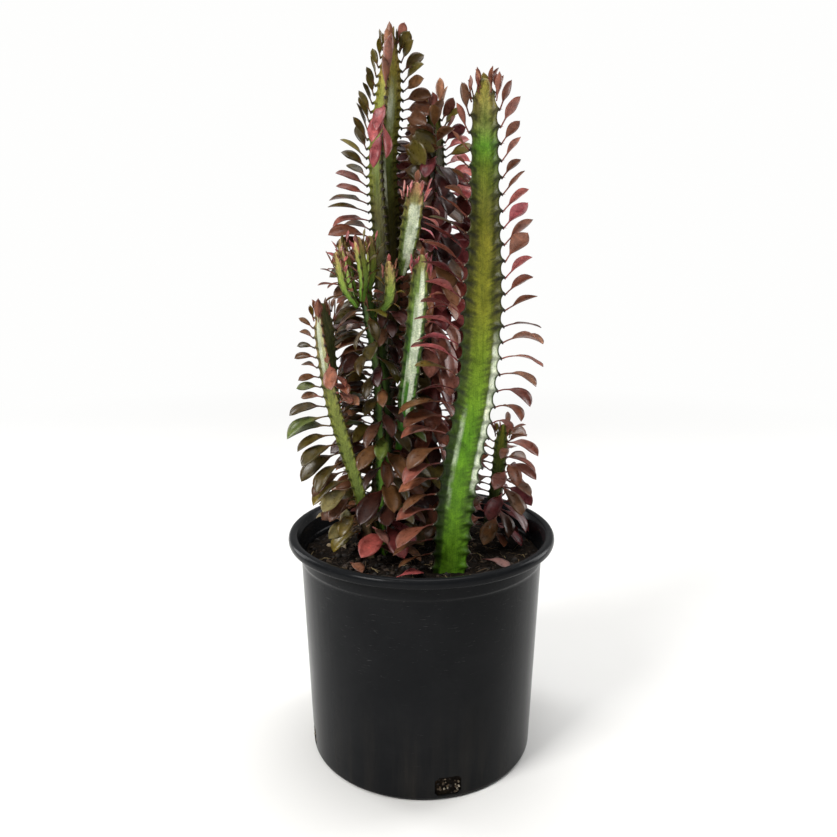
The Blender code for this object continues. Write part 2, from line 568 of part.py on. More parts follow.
def ridge_skin(stem, plan=None):
    """Ridge lines, tip and (with a plan) leaves of a stem as one closed skin."""
    verts, faces = [], []
    n = stem.count
    rings = {}
    for i in range(3):
        for k in range(1, n + 1):
            rings[i, k] = [len(verts) + j for j in range(3)]
            verts += ridge_points(stem, k, i)
    for i in range(3):
        low = rings[i, 1]
        faces.append([low[0], low[1], low[2]])
        for k in range(1, n):
            (l0, r0, t0), (l1, r1, t1) = rings[i, k], rings[i, k + 1]
            faces.append([l0, l1, r1, r0])
            entry = plan.get((stem.name, i, k)) if plan else None
            if not entry:
                faces += [[l0, t0, t1, l1], [t0, r0, r1, t1]]
                continue
            rows, width = entry
            a = len(verts)
            verts += leaf_points(rows, width)
            under, right, left = a, a + 1, a + 2
            faces += [[t0, r0, under], [r0, right, under], [r0, r1, right], [r1, t1, right],
                      [t1, left, right], [t1, l1, left], [l1, l0, left], [l0, under, left],
                      [l0, t0, under]]
            faces += [[a + j for j in face] for face in LEAF_SKIN]
    tops = [rings[i, n] for i in range(3)]
    faces.append([tops[2][1], tops[2][0], tops[1][1], tops[1][0], tops[0][1], tops[0][0]])
    point, along, e1, e2, radius, turn = stem.frames[n]
    apex = len(verts)
    verts.append(point + along * (radius * 0.9))
    for i in range(3):
        (l0, r0, t0), (l1, r1, t1) = tops[i], tops[(i + 1) % 3]
        faces.append([r0, l1, t1, t0])
        faces.append([t0, t1, apex])
    return verts, faces


def fallen_skin(place, heading, length):
    """A dropped leaf lying flat on the soil."""
    a = math.radians(heading)
    ahead, across = Vector((math.cos(a), math.sin(a), 0)), Vector((-math.sin(a), math.cos(a), 0))
    start = Vector((place[0] * MM, place[1] * MM, SOIL_LEVEL + GAP))
    length *= MM
    rim = []
    for s, w in ((0.0, 0.0), (0.25, 0.05), (0.5, 0.17), (0.72, 0.23), (0.9, 0.15), (1.0, 0.0)):
        rim.append((s, w))
    outline = [start + ahead * (s * length) + across * (w * length) for s, w in rim]
    outline += [start + ahead * (s * length) - across * (w * length) for s, w in rim[-2:0:-1]]
    m = len(outline)
    lift = Vector((0, 0, 0.0009))
    verts = outline + [p + lift for p in outline]
    faces = [list(range(m - 1, -1, -1)), list(range(m, 2 * m))]
    faces += [[j, (j + 1) % m, m + (j + 1) % m, m + j] for j in range(m)]
    return verts, faces


def merged_tree(pieces):
    verts, faces = [], []
    for v, f in pieces:
        faces += [tuple(i + len(verts) for i in face) for face in f]
        verts += [tuple(p) for p in v]
    return BVHTree.FromPolygons(verts, faces, all_triangles=False)


def all_solids(stems):
    """Every solid but the leaves, under the name of what it belongs to."""
    solids = [("pot", pot_skin()), ("soil", soil_skin())]
    solids += [(name, fallen_skin(*where)) for name, where in FALLEN.items()]
    for stem in stems:
        solids += [(stem.name, stem_mesh(stem)), (stem.name, ridge_skin(stem))]
    return solids


def main():
    clear_scene()
    stems = [Stem(name, spec) for name, spec in STEMS.items()]
    plan = plan_leaves(stems, all_solids(stems))
    add_piece("pot", *pot_skin(), "pot")
    add_piece("soil", *soil_skin(), "soil")
    for name, where in FALLEN.items():
        add_piece(name, *fallen_skin(*where), "leaves", smooth=False)
    for stem in stems:
        look = "young" if stem.name in SHOOTS else "wood" if stem.name == "stump" else "stem"
        kind = stem.name if stem.name.startswith(("branch", "shoot", "stump")) else "stem_" + stem.name
        verts, faces = stem_mesh(stem)
        add_piece(kind, verts, faces, look)
        verts, faces = ridge_skin(stem, plan)
        add_piece(kind + "_leaves", verts, faces, "leaves", smooth=False)


main()
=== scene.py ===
"""Looks of the potted African milk tree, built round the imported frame.

Metres, +Z up, -Y is the front, origin at the centre of the pot's underside.
Stems, leaves, soil and pot are remade in fine detail where the solids are.
"""
import math
import random

import bmesh
import bpy
import numpy as np
from mathutils import Matrix, Vector, noise
from mathutils.bvhtree import BVHTree


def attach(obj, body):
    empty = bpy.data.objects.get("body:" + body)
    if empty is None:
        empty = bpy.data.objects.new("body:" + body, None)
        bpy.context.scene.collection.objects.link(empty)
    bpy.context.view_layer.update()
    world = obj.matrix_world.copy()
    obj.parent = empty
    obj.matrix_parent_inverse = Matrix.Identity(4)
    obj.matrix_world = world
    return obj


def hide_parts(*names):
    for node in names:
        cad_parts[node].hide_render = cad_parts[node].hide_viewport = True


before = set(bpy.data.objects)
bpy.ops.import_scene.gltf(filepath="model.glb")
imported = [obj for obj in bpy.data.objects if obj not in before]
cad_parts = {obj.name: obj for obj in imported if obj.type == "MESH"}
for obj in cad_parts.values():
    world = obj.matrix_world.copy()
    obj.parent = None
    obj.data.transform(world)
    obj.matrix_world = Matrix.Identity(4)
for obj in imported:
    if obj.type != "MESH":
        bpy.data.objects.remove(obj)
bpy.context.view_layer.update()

# ---------------------------------------------------------------- the plan
# The same plan as the part's own source: stems, wings and leaf poses.
MM = 0.001
GAP = 0.0003                 # clearance between pieces that touch
# ------------------------------------------------------------------ the pot
POT_SEGMENTS = 56            # facets round the pot
POT_HEIGHT = 0.1910
RIM_OUTER_RADIUS = 0.1110
RIM_DEPTH = 0.0075           # how far the rolled lip hangs down
RIM_INNER_RADIUS = 0.1045
NECK_RADIUS = 0.1022         # outside of the wall, right under the lip
SHOULDER_HEIGHT = 0.1700     # small stacking step in the wall
SHOULDER_RADIUS = 0.1007
BASE_RADIUS = 0.0946
WALL = 0.0014
FLOOR = 0.0022
DRAIN_HOLES = 4
DRAIN_FIRST_SEGMENT = -13    # the holes are two facets wide
DRAIN_LOW = 0.0036
DRAIN_HIGH = 0.0200
# ----------------------------------------------------------------- the soil
SOIL_LEVEL = 0.1710
SOIL_FLAT_RADIUS = 0.0900
# --------------------------------------------------------- ridges and leaves
RIDGE_HEIGHT = 0.0015        # ridge line above the wing's edge
RIDGE_HALF_WIDTH = 0.0012
VALLEY = 0.44                # how far in the hollow between two wings reaches
STALK_HALF = 0.0008
LEAF_THICKNESS = 0.0010
LEAF_BREADTH = 0.41          # width of a leaf for its length
BROAD_EXTRA = 0.05           # broader leaves near the soil
BROAD_BELOW = 0.2400
BODY_AT = 0.70               # where along a leaf it is widest
EVEN = (0, 0, 0)
SEAT_AT = (0.50, 0.80, 0.20) # place of the leaf between two nodes, wing by wing
# A stem: its axis as a few points in mm, the wing radius in mm, the direction
# of wing 0 in degrees (0 is +X, -90 is the front), the spacing of the leaves
# in mm, how far the leaves fan out to both sides, how far each wing's leaves
# lean sideways and are rolled over, and for each wing the leaves as (place along the stem, length in mm,
# lift in degrees, droop in degrees).  A length of 0 is a bare stretch.
STEMS = {
    "right": dict(
        seed=11, pitch=11.8,
        axis=[(22, -43, 171.3), (29, -40, 238), (42, -36, 310), (46, -33, 364),
              (47, -31, 420), (46, -28, 480), (45, -25, 536)],
        radius=[(0.0, 17.5), (0.15, 19.0), (0.55, 19.3), (0.66, 17.5),
                (0.75, 15.0), (0.85, 14.2), (0.96, 12.5), (1.0, 7.0)],
        turn=[(0, -30), (0.2, -38), (0.35, -40), (0.55, -35), (0.8, -30), (1, -30)],
        wings=[
            [(0.0, 0, 0, 0), (0.31, 0, 30, 80), (0.33, 20, 38, 90), (0.38, 30, 32, 85),
             (0.46, 37, 22, 50), (0.53, 35, 20, 30), (0.58, 27, 48, 30),
             (0.75, 27, 50, 15), (0.80, 18, 52, 20), (0.90, 19, 50, 10),
             (0.94, 24, 60, 0), (0.97, 15, 74, 0), (1.0, 11, 80, -15)],
            [(0.0, 0, 0, 0), (0.05, 26, 5, 40), (0.3, 30, 15, 50), (0.6, 32, 30, 30),
             (0.75, 28, 40, 15), (0.85, 16, 45, 10), (0.96, 20, 62, 0), (1.0, 13, 76, -10)],
            [(0.0, 0, 0, 0), (0.04, 32, -2, 40), (0.2, 34, 0, 55), (0.32, 40, 10, 60),
             (0.5, 38, 35, 50), (0.7, 34, 42, 25), (0.77, 22, 42, 20),
             (0.86, 13, 35, 10), (0.93, 22, 60, -15), (0.96, 25, 72, -15), (1.0, 15, 78, -15)]]),
    "tall": dict(
        seed=23, pitch=6.8, fan=22, lean=(0, -38, 22), roll=(0, 45, -25),
        axis=[(-36, 21, 171.3), (-32, 21, 260), (-28, 20, 350), (-28, 20, 420),
              (-31, 20, 489), (-26, 20, 541), (-24, 20, 578)],
        radius=[(0.0, 11.5), (0.4, 13.5), (0.7, 16.0), (0.86, 15.5), (0.94, 12.0), (1.0, 5.5)],
        turn=[(0, -70), (0.5, -84), (1, -96)],
        wings=[
            [(0.0, 0, 0, 0), (0.2, 0, 20, 40), (0.22, 26, 10, 60), (0.53, 30, -5, 60),
             (0.56, 0, 0, 60), (0.815, 0, 0, 60), (0.82, 31, -34, 45), (0.875, 29, -26, 50),
             (0.89, 0, 0, 50), (0.905, 0, 60, 30), (0.91, 30, 74, 10), (0.95, 24, 80, -5),
             (1.0, 15, 84, -10)],
            [(0.0, 0, 0, 0), (0.06, 30, 10, 50), (0.5, 32, 5, 55), (0.82, 28, 5, 65),
             (0.9, 22, 35, 30), (1.0, 14, 76, 0)],
            [(0.0, 0, 0, 0), (0.06, 30, 5, 40), (0.5, 36, 10, 55), (0.7, 30, 30, 40),
             (0.84, 20, 58, 10), (1.0, 14, 72, -10)]]),
    "middle": dict(
        seed=37, pitch=5.6, fan=34, lean=(0, -34, 34), roll=(0, 40, -40),
        axis=[(4, 44, 171.3), (8, 41, 300), (11, 37, 430), (11, 36, 490), (9, 35, 534)],
        radius=[(0.0, 10.5), (0.5, 12.0), (0.85, 11.5), (0.94, 9.5), (1.0, 5.0)],
        turn=[(0, -80), (1, -90)],
        wings=[
            [(0.0, 0, 0, 0), (0.05, 30, -30, 40), (0.5, 38, -36, 42), (0.75, 38, -36, 42),
             (0.88, 30, -25, 40), (0.93, 20, 50, 20), (1.0, 16, 80, -10)],
            [(0.0, 0, 0, 0), (0.05, 28, 5, 50), (0.5, 34, -5, 60), (0.8, 32, -5, 60),
             (0.92, 20, 45, 30), (1.0, 18, 76, -10)],
            [(0.0, 0, 0, 0), (0.05, 28, 0, 50), (0.6, 32, 0, 60), (0.85, 30, 0, 60),
             (0.93, 20, 45, 20), (1.0, 14, 80, -10)]]),
    "left": dict(
        seed=41, pitch=7.6, fan=14, roll=(0, 20, -45),
        axis=[(-42, -18, 171.3), (-46, -19, 205), (-52, -20, 236), (-61, -20, 268),
              (-69, -20, 304), (-74, -20, 340), (-77, -20, 375)],
        radius=[(0.0, 5.5), (0.25, 6.5), (0.6, 8.5), (0.92, 11.0), (1.0, 7.0)],
        turn=[(0, -28), (0.5, -34), (0.75, -72), (1, -95)],
        wings=[
            [(0.0, 0, 0, 0), (0.04, 26, -20, 30), (0.12, 26, -10, 40), (0.2, 0, 0, 0),
             (0.62, 0, 10, 40), (0.64, 26, 30, 60), (0.8, 28, -25, 40), (0.86, 0, 0, 0),
             (0.98, 0, 60, 0), (1.0, 10, 70, 0)],
            [(0.0, 0, 0, 0), (0.1, 28, 10, 40), (0.6, 30, 25, 50), (0.85, 26, 30, 55),
             (0.95, 16, 60, 0), (1.0, 10, 75, 0)],
            [(0.0, 0, 0, 0), (0.1, 0, 0, 30), (0.12, 27, 15, 60), (0.35, 32, 8, 45),
             (0.62, 34, 12, 40), (0.68, 18, 25, 40), (0.9, 15, 30, 40), (1.0, 10, 70, 0)]]),
    "centre": dict(
        seed=53, pitch=6.3, fan=42, lean=(0, -16, 16), roll=(0, 30, -30),
        axis=[(-31, -8, 171.3), (-31, -6, 235), (-31, -5, 295), (-35, -3, 340), (-44, 0, 382)],
        radius=[(0.0, 8.5), (0.5, 9.0), (0.9, 9.0), (1.0, 6.5)],
        turn=[(0, -80), (1, -92)],
        wings=[
            [(0.0, 0, 0, 0), (0.04, 36, -25, 15), (0.25, 38, -18, 30), (0.5, 32, -5, 50),
             (0.95, 28, -5, 60), (1.0, 0, 50, 0)],
            [(0.0, 0, 0, 0), (0.05, 32, -10, 30), (0.4, 32, 5, 50), (0.95, 30, 15, 50),
             (1.0, 0, 40, 0)],
            [(0.0, 0, 0, 0), (0.08, 30, 0, 40), (0.5, 36, 20, 70), (0.95, 32, 15, 65),
             (1.0, 0, 60, 0)]]),
    "rear": dict(
        seed=67, pitch=6.8, fan=36, lean=(0, -20, 20), roll=(0, 35, -35),
        axis=[(58, 30, 171.3), (65, 30, 200), (69, 30, 235), (71, 30, 270)],
        radius=[(0.0, 7.5), (0.3, 9.0), (0.85, 9.0), (1.0, 5.0)],
        turn=[(0, -85), (1, -60)],
        wings=[
            [(0.0, 0, 0, 0), (0.05, 36, -32, 10), (0.3, 34, -10, 40), (0.8, 30, 5, 50),
             (1.0, 18, 55, 20)],
            [(0.0, 0, 0, 0), (0.1, 32, 0, 40), (0.9, 30, 15, 55), (1.0, 16, 60, 20)],
            [(0.0, 0, 0, 0), (0.05, 30, -5, 40), (0.5, 30, 15, 50), (0.9, 24, 30, 50),
             (1.0, 16, 60, 20)]]),
    "branch_upper": dict(
        seed=71, pitch=8.4,
        axis=[(-14.5, 5, 405), (-12, -2, 417), (-8, -7, 440), (-4, -10, 466)],
        radius=[(0.0, 5.0), (0.15, 8.0), (0.5, 10.5), (0.9, 9.8), (1.0, 6.0)],
        turn=[(0, -30), (1, -30)],
        wings=[
            [(0.0, 0, 0, 0), (0.12, 14, -10, 40), (0.9, 14, 10, 50), (1.0, 12, 76, 0)],
            [(0.0, 0, 0, 0), (0.3, 18, 20, 30), (1.0, 14, 76, 0)],
            [(0.0, 0, 0, 0), (0.9, 0, 60, 0), (1.0, 12, 80, 0)]]),
    "branch_centre": dict(
        seed=79, pitch=10.2,
        axis=[(-17.5, -9, 266), (-14, -12, 281), (-12, -18, 303), (-8, -26, 332),
              (-4, -29, 368), (-1, -30, 402), (0, -30, 413)],
        radius=[(0.0, 4.5), (0.1, 7.5), (0.3, 10.0), (0.8, 10.0), (0.93, 8.5), (1.0, 5.0)],
        turn=[(0, -32), (1, -30)],
        wings=[
            [(0.0, 0, 0, 0), (0.45, 0, 10, 40), (0.5, 12, 5, 50), (0.9, 12, 30, 30),
             (1.0, 10, 76, 0)],
            [(0.0, 0, 0, 0), (0.15, 22, 10, 40), (0.7, 24, 20, 40), (1.0, 12, 76, 0)],
            [(0.0, 0, 0, 0), (0.9, 0, 40, 0), (1.0, 10, 76, 0)]]),
    "shoot_front": dict(
        seed=83, pitch=9.0,
        axis=[(-46, -12, 386), (-45, -13, 400), (-49, -14, 427)],
        radius=[(0.0, 3.5), (0.4, 5.0), (0.9, 5.0), (1.0, 3.5)],
        turn=[(0, -92), (1, -92)],
        wings=[[(0.0, 0, 0, 0), (0.6, 0, 0, 0), (1.0, 10, 75, 0)],
               [(0.0, 0, 0, 0), (0.2, 10, 30, 40), (1.0, 9, 70, 0)],
               [(0.0, 0, 0, 0), (0.2, 10, 30, 40), (1.0, 9, 70, 0)]]),
    "shoot_left": dict(
        seed=89, pitch=8.5,
        axis=[(-53, -6, 380), (-60, -8, 392), (-65, -10, 416)],
        radius=[(0.0, 3.5), (0.4, 4.4), (0.9, 4.4), (1.0, 3.4)],
        turn=[(0, -60), (1, -60)],
        wings=[[(0.0, 0, 0, 0), (0.3, 9, 10, 40), (1.0, 8, 70, 0)],
               [(0.0, 0, 0, 0), (0.3, 12, 30, 30), (1.0, 9, 70, 0)],
               [(0.0, 0, 0, 0), (0.25, 18, 10, 50), (1.0, 10, 70, 0)]]),
    "shoot_back": dict(
        seed=97, pitch=9.0,
        axis=[(-54, 5, 386), (-58, 7, 402), (-63, 7, 426)],
        radius=[(0.0, 3.5), (0.4, 4.8), (0.9, 4.8), (1.0, 3.5)],
        turn=[(0, -80), (1, -80)],
        wings=[[(0.0, 0, 0, 0), (0.4, 10, 50, 30), (1.0, 9, 70, 0)],
               [(0.0, 0, 0, 0), (0.3, 14, 30, 30), (1.0, 10, 70, 0)],
               [(0.0, 0, 0, 0), (0.25, 18, 20, 50), (1.0, 10, 70, 0)]]),
    "shoot_inner": dict(
        seed=101, pitch=9.0,
        axis=[(-43, 5, 388), (-40, 5, 404), (-41, 3, 428)],
        radius=[(0.0, 3.5), (0.4, 4.8), (0.9, 4.8), (1.0, 3.5)],
        turn=[(0, -100), (1, -100)],
        wings=[[(0.0, 0, 0, 0), (0.6, 0, 50, 30), (1.0, 9, 70, 0)],
               [(0.0, 0, 0, 0), (0.3, 12, 30, 30), (1.0, 9, 70, 0)],
               [(0.0, 0, 0, 0), (0.3, 14, 30, 30), (1.0, 9, 70, 0)]]),
    "shoot_right": dict(
        seed=103, pitch=8.5,
        axis=[(-32.5, -7, 372), (-26, -11, 381), (-24, -13, 393), (-25, -15, 409)],
        radius=[(0.0, 3.2), (0.4, 5.2), (0.9, 5.0), (1.0, 3.4)],
        turn=[(0, -30), (1, -30)],
        wings=[[(0.0, 0, 0, 0), (0.35, 9, 10, 50), (1.0, 8, 72, 0)],
               [(0.0, 0, 0, 0), (0.3, 14, 20, 40), (1.0, 9, 72, 0)],
               [(0.0, 0, 0, 0), (0.35, 10, 10, 50), (1.0, 8, 72, 0)]]),
    "stump": dict(
        seed=107, pitch=12.0,
        axis=[(-66, 6, 171.3), (-66, 6, 190), (-64, 5, 214)],
        radius=[(0.0, 4.0), (0.5, 4.2), (1.0, 3.6)],
        turn=[(0, -60), (1, -80)],
        wings=[[(0.0, 0, 0, 0), (0.5, 0, -30, 20), (0.55, 26, -45, 10), (1.0, 24, 0, 60)],
               [(0.0, 0, 0, 0), (0.5, 0, 20, 40), (0.55, 20, 20, 40), (1.0, 20, 30, 60)],
               [(0.0, 0, 0, 0), (0.5, 0, 10, 40), (0.55, 24, 10, 50), (1.0, 22, 25, 60)]]),
}
SHOOTS = ("shoot_front", "shoot_left", "shoot_back", "shoot_inner", "shoot_right")
# Leaves that have dropped: place on the soil in mm, direction, length in mm.
FALLEN = {
    "fallen_leaf_right": ((50, -30), -42, 27),
    "fallen_leaf_front": ((-20, -68), 25, 24),
    "fallen_leaf_left": ((-57, -38), -60, 22),
}


def keyed(keys, t):
    """Linear interpolation of rows (t, a, b, ...) at t."""
    if t <= keys[0][0]:
        return tuple(keys[0][1:])
    for a, b in zip(keys, keys[1:]):
        if t <= b[0]:
            f = (t - a[0]) / max(b[0] - a[0], 1e-9)
            return tuple(p + (q - p) * f for p, q in zip(a[1:], b[1:]))
    return tuple(keys[-1][1:])


def smooth_axis(points, count):
    """count + 1 points at equal spacing on a smooth curve through points."""
    pts = [Vector(p) * MM for p in points]
    ext = [pts[0] * 2 - pts[1]] + pts + [pts[-1] * 2 - pts[-2]]
    fine = []
    for i in range(1, len(ext) - 2):
        p0, p1, p2, p3 = ext[i - 1:i + 3]
        for j in range(24):
            u = j / 24
            fine.append(0.5 * ((2 * p1) + (p2 - p0) * u
                               + (2 * p0 - 5 * p1 + 4 * p2 - p3) * u * u
                               + (3 * p1 - p0 - 3 * p2 + p3) * u ** 3))
    fine.append(pts[-1])
    run = [0.0]
    for a, b in zip(fine, fine[1:]):
        run.append(run[-1] + (b - a).length)
    out, k = [], 0
    for i in range(count + 1):
        want = run[-1] * i / count
        while k < len(run) - 2 and run[k + 1] < want:
            k += 1
        f = (want - run[k]) / max(run[k + 1] - run[k], 1e-9)
        out.append(fine[k].lerp(fine[k + 1], min(max(f, 0.0), 1.0)))
    return out, run[-1]


class Stem:
    """The sampled axis of a stem with its section frame at each leaf node."""

    def __init__(self, name, spec):
        self.name, self.spec = name, spec
        _, length = smooth_axis(spec["axis"], 8)
        self.count = max(3, round(length / (spec["pitch"] * MM)))
        self.points, self.length = smooth_axis(spec["axis"], self.count)
        self.frames = []
        n = self.count
        for k in range(n + 1):
            along = (self.points[min(k + 1, n)] - self.points[max(k - 1, 0)]).normalized()
            if k == 0 and name in STANDING:
                along = Vector((0, 0, 1))
            e1 = Vector((1, 0, 0))
            e1 = (e1 - along * e1.dot(along)).normalized()
            e2 = along.cross(e1)
            t = k / n
            radius = keyed(spec["radius"], t)[0] * MM
            turn = math.radians(keyed(spec["turn"], t)[0])
            self.frames.append((self.points[k], along, e1, e2, radius, turn))

    def wing(self, k, i):
        """Axis point, outward and sideways directions, up, radius of wing i."""
        point, along, e1, e2, radius, turn = self.frames[k]
        a = turn + math.radians(120) * i
        out = e1 * math.cos(a) + e2 * math.sin(a)
        side = e2 * math.cos(a) - e1 * math.sin(a)
        return point, out, side, along, radius
# Stems that stand on the soil; the others grow from a stem.
STANDING = ("right", "tall", "middle", "left", "centre", "rear", "stump")


# ------------------------------------------------------------ pot and soil
def turned(profile, segments):
    """Points of a turned profile; a radius of 0 gives one point on the axis."""
    verts, rings = [], []
    for r, z in profile:
        if r == 0:
            rings.append([len(verts)] * segments)
            verts.append(Vector((0, 0, z)))
        else:
            rings.append(list(range(len(verts), len(verts) + segments)))
            for j in range(segments):
                a = 2 * math.pi * j / segments
                verts.append(Vector((r * math.cos(a), r * math.sin(a), z)))
    return verts, rings


def ring_faces(lower, upper, j, segments):
    k = (j + 1) % segments
    face = [lower[j], lower[k], upper[k], upper[j]]
    return [v for n, v in enumerate(face) if v not in face[:n]]


def inner_radius(z):
    """Inside of the pot's wall below the shoulder."""
    low, high = BASE_RADIUS - WALL, SHOULDER_RADIUS - WALL
    return low + (high - low) * (z - DRAIN_LOW) / (SHOULDER_HEIGHT - DRAIN_LOW)


def pot_skin():
    drain_r = BASE_RADIUS + (SHOULDER_RADIUS - BASE_RADIUS) * (
        (DRAIN_HIGH - DRAIN_LOW) / (SHOULDER_HEIGHT - DRAIN_LOW))
    lip = POT_HEIGHT - RIM_DEPTH
    profile = [
        (0, 0), (BASE_RADIUS - 0.0030, 0), (BASE_RADIUS - 0.0006, 0.0012),
        (BASE_RADIUS, DRAIN_LOW), (drain_r, DRAIN_HIGH),
        (SHOULDER_RADIUS, SHOULDER_HEIGHT), (SHOULDER_RADIUS + 0.0008, SHOULDER_HEIGHT + 0.0022),
        (NECK_RADIUS, lip + 0.0018), (RIM_OUTER_RADIUS - 0.0026, lip + 0.0018),
        (RIM_OUTER_RADIUS - 0.0016, lip), (RIM_OUTER_RADIUS - 0.0002, lip + 0.0010),
        (RIM_OUTER_RADIUS, lip + 0.0040), (RIM_OUTER_RADIUS - 0.0012, POT_HEIGHT - 0.0012),
        (RIM_OUTER_RADIUS - 0.0032, POT_HEIGHT), (RIM_INNER_RADIUS + 0.0008, POT_HEIGHT - 0.0003),
        (RIM_INNER_RADIUS - 0.0010, POT_HEIGHT - 0.0020),
        (NECK_RADIUS - WALL, POT_HEIGHT - 0.0062),
        (SHOULDER_RADIUS + 0.0008 - WALL, SHOULDER_HEIGHT + 0.0030),
        (SHOULDER_RADIUS - WALL, SHOULDER_HEIGHT + 0.0008),
        (inner_radius(DRAIN_HIGH), DRAIN_HIGH), (inner_radius(DRAIN_LOW), DRAIN_LOW),
        (BASE_RADIUS - WALL - 0.0016, FLOOR), (0, FLOOR)]
    verts, rings = turned(profile, POT_SEGMENTS)
    last = len(profile) - 1
    outer_low, outer_high = rings[3], rings[4]
    inner_high, inner_low = rings[last - 3], rings[last - 2]
    step = POT_SEGMENTS // DRAIN_HOLES
    open_at = {(DRAIN_FIRST_SEGMENT + h * step + s) % POT_SEGMENTS
               for h in range(DRAIN_HOLES) for s in (0, 1)}
    faces = []
    for i in range(last):
        through = i in (3, last - 3)
        for j in range(POT_SEGMENTS):
            if through and j in open_at:
                continue
            faces.append(ring_faces(rings[i], rings[i + 1], j, POT_SEGMENTS))
    for j in sorted(open_at):
        k = (j + 1) % POT_SEGMENTS
        faces.append([outer_low[j], outer_low[k], inner_low[k], inner_low[j]])
        faces.append([outer_high[k], outer_high[j], inner_high[j], inner_high[k]])
        if (j - 1) % POT_SEGMENTS not in open_at:
            faces.append([outer_low[j], inner_low[j], inner_high[j], outer_high[j]])
        if k not in open_at:
            faces.append([outer_low[k], outer_high[k], inner_high[k], inner_low[k]])
    return verts, faces


def soil_skin():
    top = SOIL_LEVEL
    edge = inner_radius(top - 0.0016) - GAP
    profile = [(0, FLOOR + GAP), (BASE_RADIUS - WALL - 0.0022, FLOOR + GAP),
               (inner_radius(DRAIN_LOW) - GAP, DRAIN_LOW + 0.0004),
               (edge, top - 0.0016), (SOIL_FLAT_RADIUS, top), (0, top)]
    verts, rings = turned(profile, POT_SEGMENTS)
    faces = [ring_faces(rings[i], rings[i + 1], j, POT_SEGMENTS)
             for i in range(len(profile) - 1) for j in range(POT_SEGMENTS)]
    return verts, faces


# ------------------------------------------------------------------- stems
def stem_mesh(stem):
    verts, faces = [], []
    n = stem.count
    for k in range(n + 1):
        for i in range(3):
            point, out, side, along, radius = stem.wing(k, i)
            verts.append(point + out * (radius - RIDGE_HEIGHT - GAP))
            hollow = out * math.cos(math.radians(60)) + side * math.sin(math.radians(60))
            verts.append(point + hollow * (radius * VALLEY))
    for k in range(n):
        for j in range(6):
            a, b = k * 6 + j, k * 6 + (j + 1) % 6
            faces.append([a, b, b + 6, a + 6])
    faces.append(list(range(5, -1, -1)))
    faces.append([n * 6 + j for j in range(6)])
    return verts, faces


# ------------------------------------------------------------------ leaves
def leaf_path(base, out, side, up, length, lift, droop, yaw, roll, steps=12):
    """Midrib points with, at each, the blade's sideways and upper directions."""
    cy, sy = math.cos(yaw), math.sin(yaw)
    forward = out * cy + side * sy
    across = side * cy - out * sy
    rows, p = [], base.copy()
    for s in range(steps + 1):
        e = lift - droop * s / steps
        if s:
            mid = lift - droop * (s - 0.5) / steps
            p = p + (forward * math.cos(mid) + up * math.sin(mid)) * (length / steps)
        heading = forward * math.cos(e) + up * math.sin(e)
        face = up * math.cos(e) - forward * math.sin(e)
        turn = roll * min(1.0, 3.0 * s / steps)
        wide = across * math.cos(turn) + face * math.sin(turn)
        face = face * math.cos(turn) - across * math.sin(turn)
        rows.append((p.copy(), heading, wide, face))
    return rows


def leaf_points(rows, width, grow=0.0):
    """Stalk ring, widest ring and tip of a leaf: under, right, left, ..., tip."""
    p, heading, wide, face = rows[1]
    a = STALK_HALF + grow
    stalk = [p - face * a * 0.9, p + wide * a + face * a * 0.5, p - wide * a + face * a * 0.5]
    p, heading, wide, face = rows[round(BODY_AT * (len(rows) - 1))]
    w, t = width / 2 + grow, LEAF_THICKNESS / 2 + grow
    body = [p - face * t, p + wide * w + face * t, p - wide * w + face * t]
    return stalk + body + [rows[-1][0] + rows[-1][1] * grow]
LEAF_SKIN = [(0, 1, 4, 3), (1, 2, 5, 4), (2, 0, 3, 5), (3, 4, 6), (4, 5, 6), (5, 3, 6)]
TRIES = [(0, 0, 1.0), (12, 0, 1.0), (-12, 0, 1.0), (0, 16, 1.0), (0, -16, 1.0),
         (20, 12, 0.9), (-20, -12, 0.9), (0, 30, 0.85), (0, -30, 0.85),
         (16, 0, 0.75), (-16, 0, 0.75), (30, 20, 0.7), (30, -20, 0.7), (0, 0, 0.55),
         (25, 0, 0.5)]
# The swelling under a leaf, from six points round its seat to the stalk.
SEAT_SKIN = [(1, 2, 6), (2, 7, 6), (2, 3, 7), (3, 4, 7), (4, 8, 7), (4, 5, 8), (5, 0, 8),
             (0, 6, 8), (0, 1, 6)]
WHOLE_SKIN = SEAT_SKIN + [tuple(6 + j for j in face) for face in LEAF_SKIN]


def tree_of(points, skin):
    return BVHTree.FromPolygons([tuple(p) for p in points], skin, all_triangles=False)


def box_of(points):
    return ([min(p[i] for p in points) for i in range(3)],
            [max(p[i] for p in points) for i in range(3)])


def boxes_meet(a, b):
    return all(a[0][i] <= b[1][i] and b[0][i] <= a[1][i] for i in range(3))


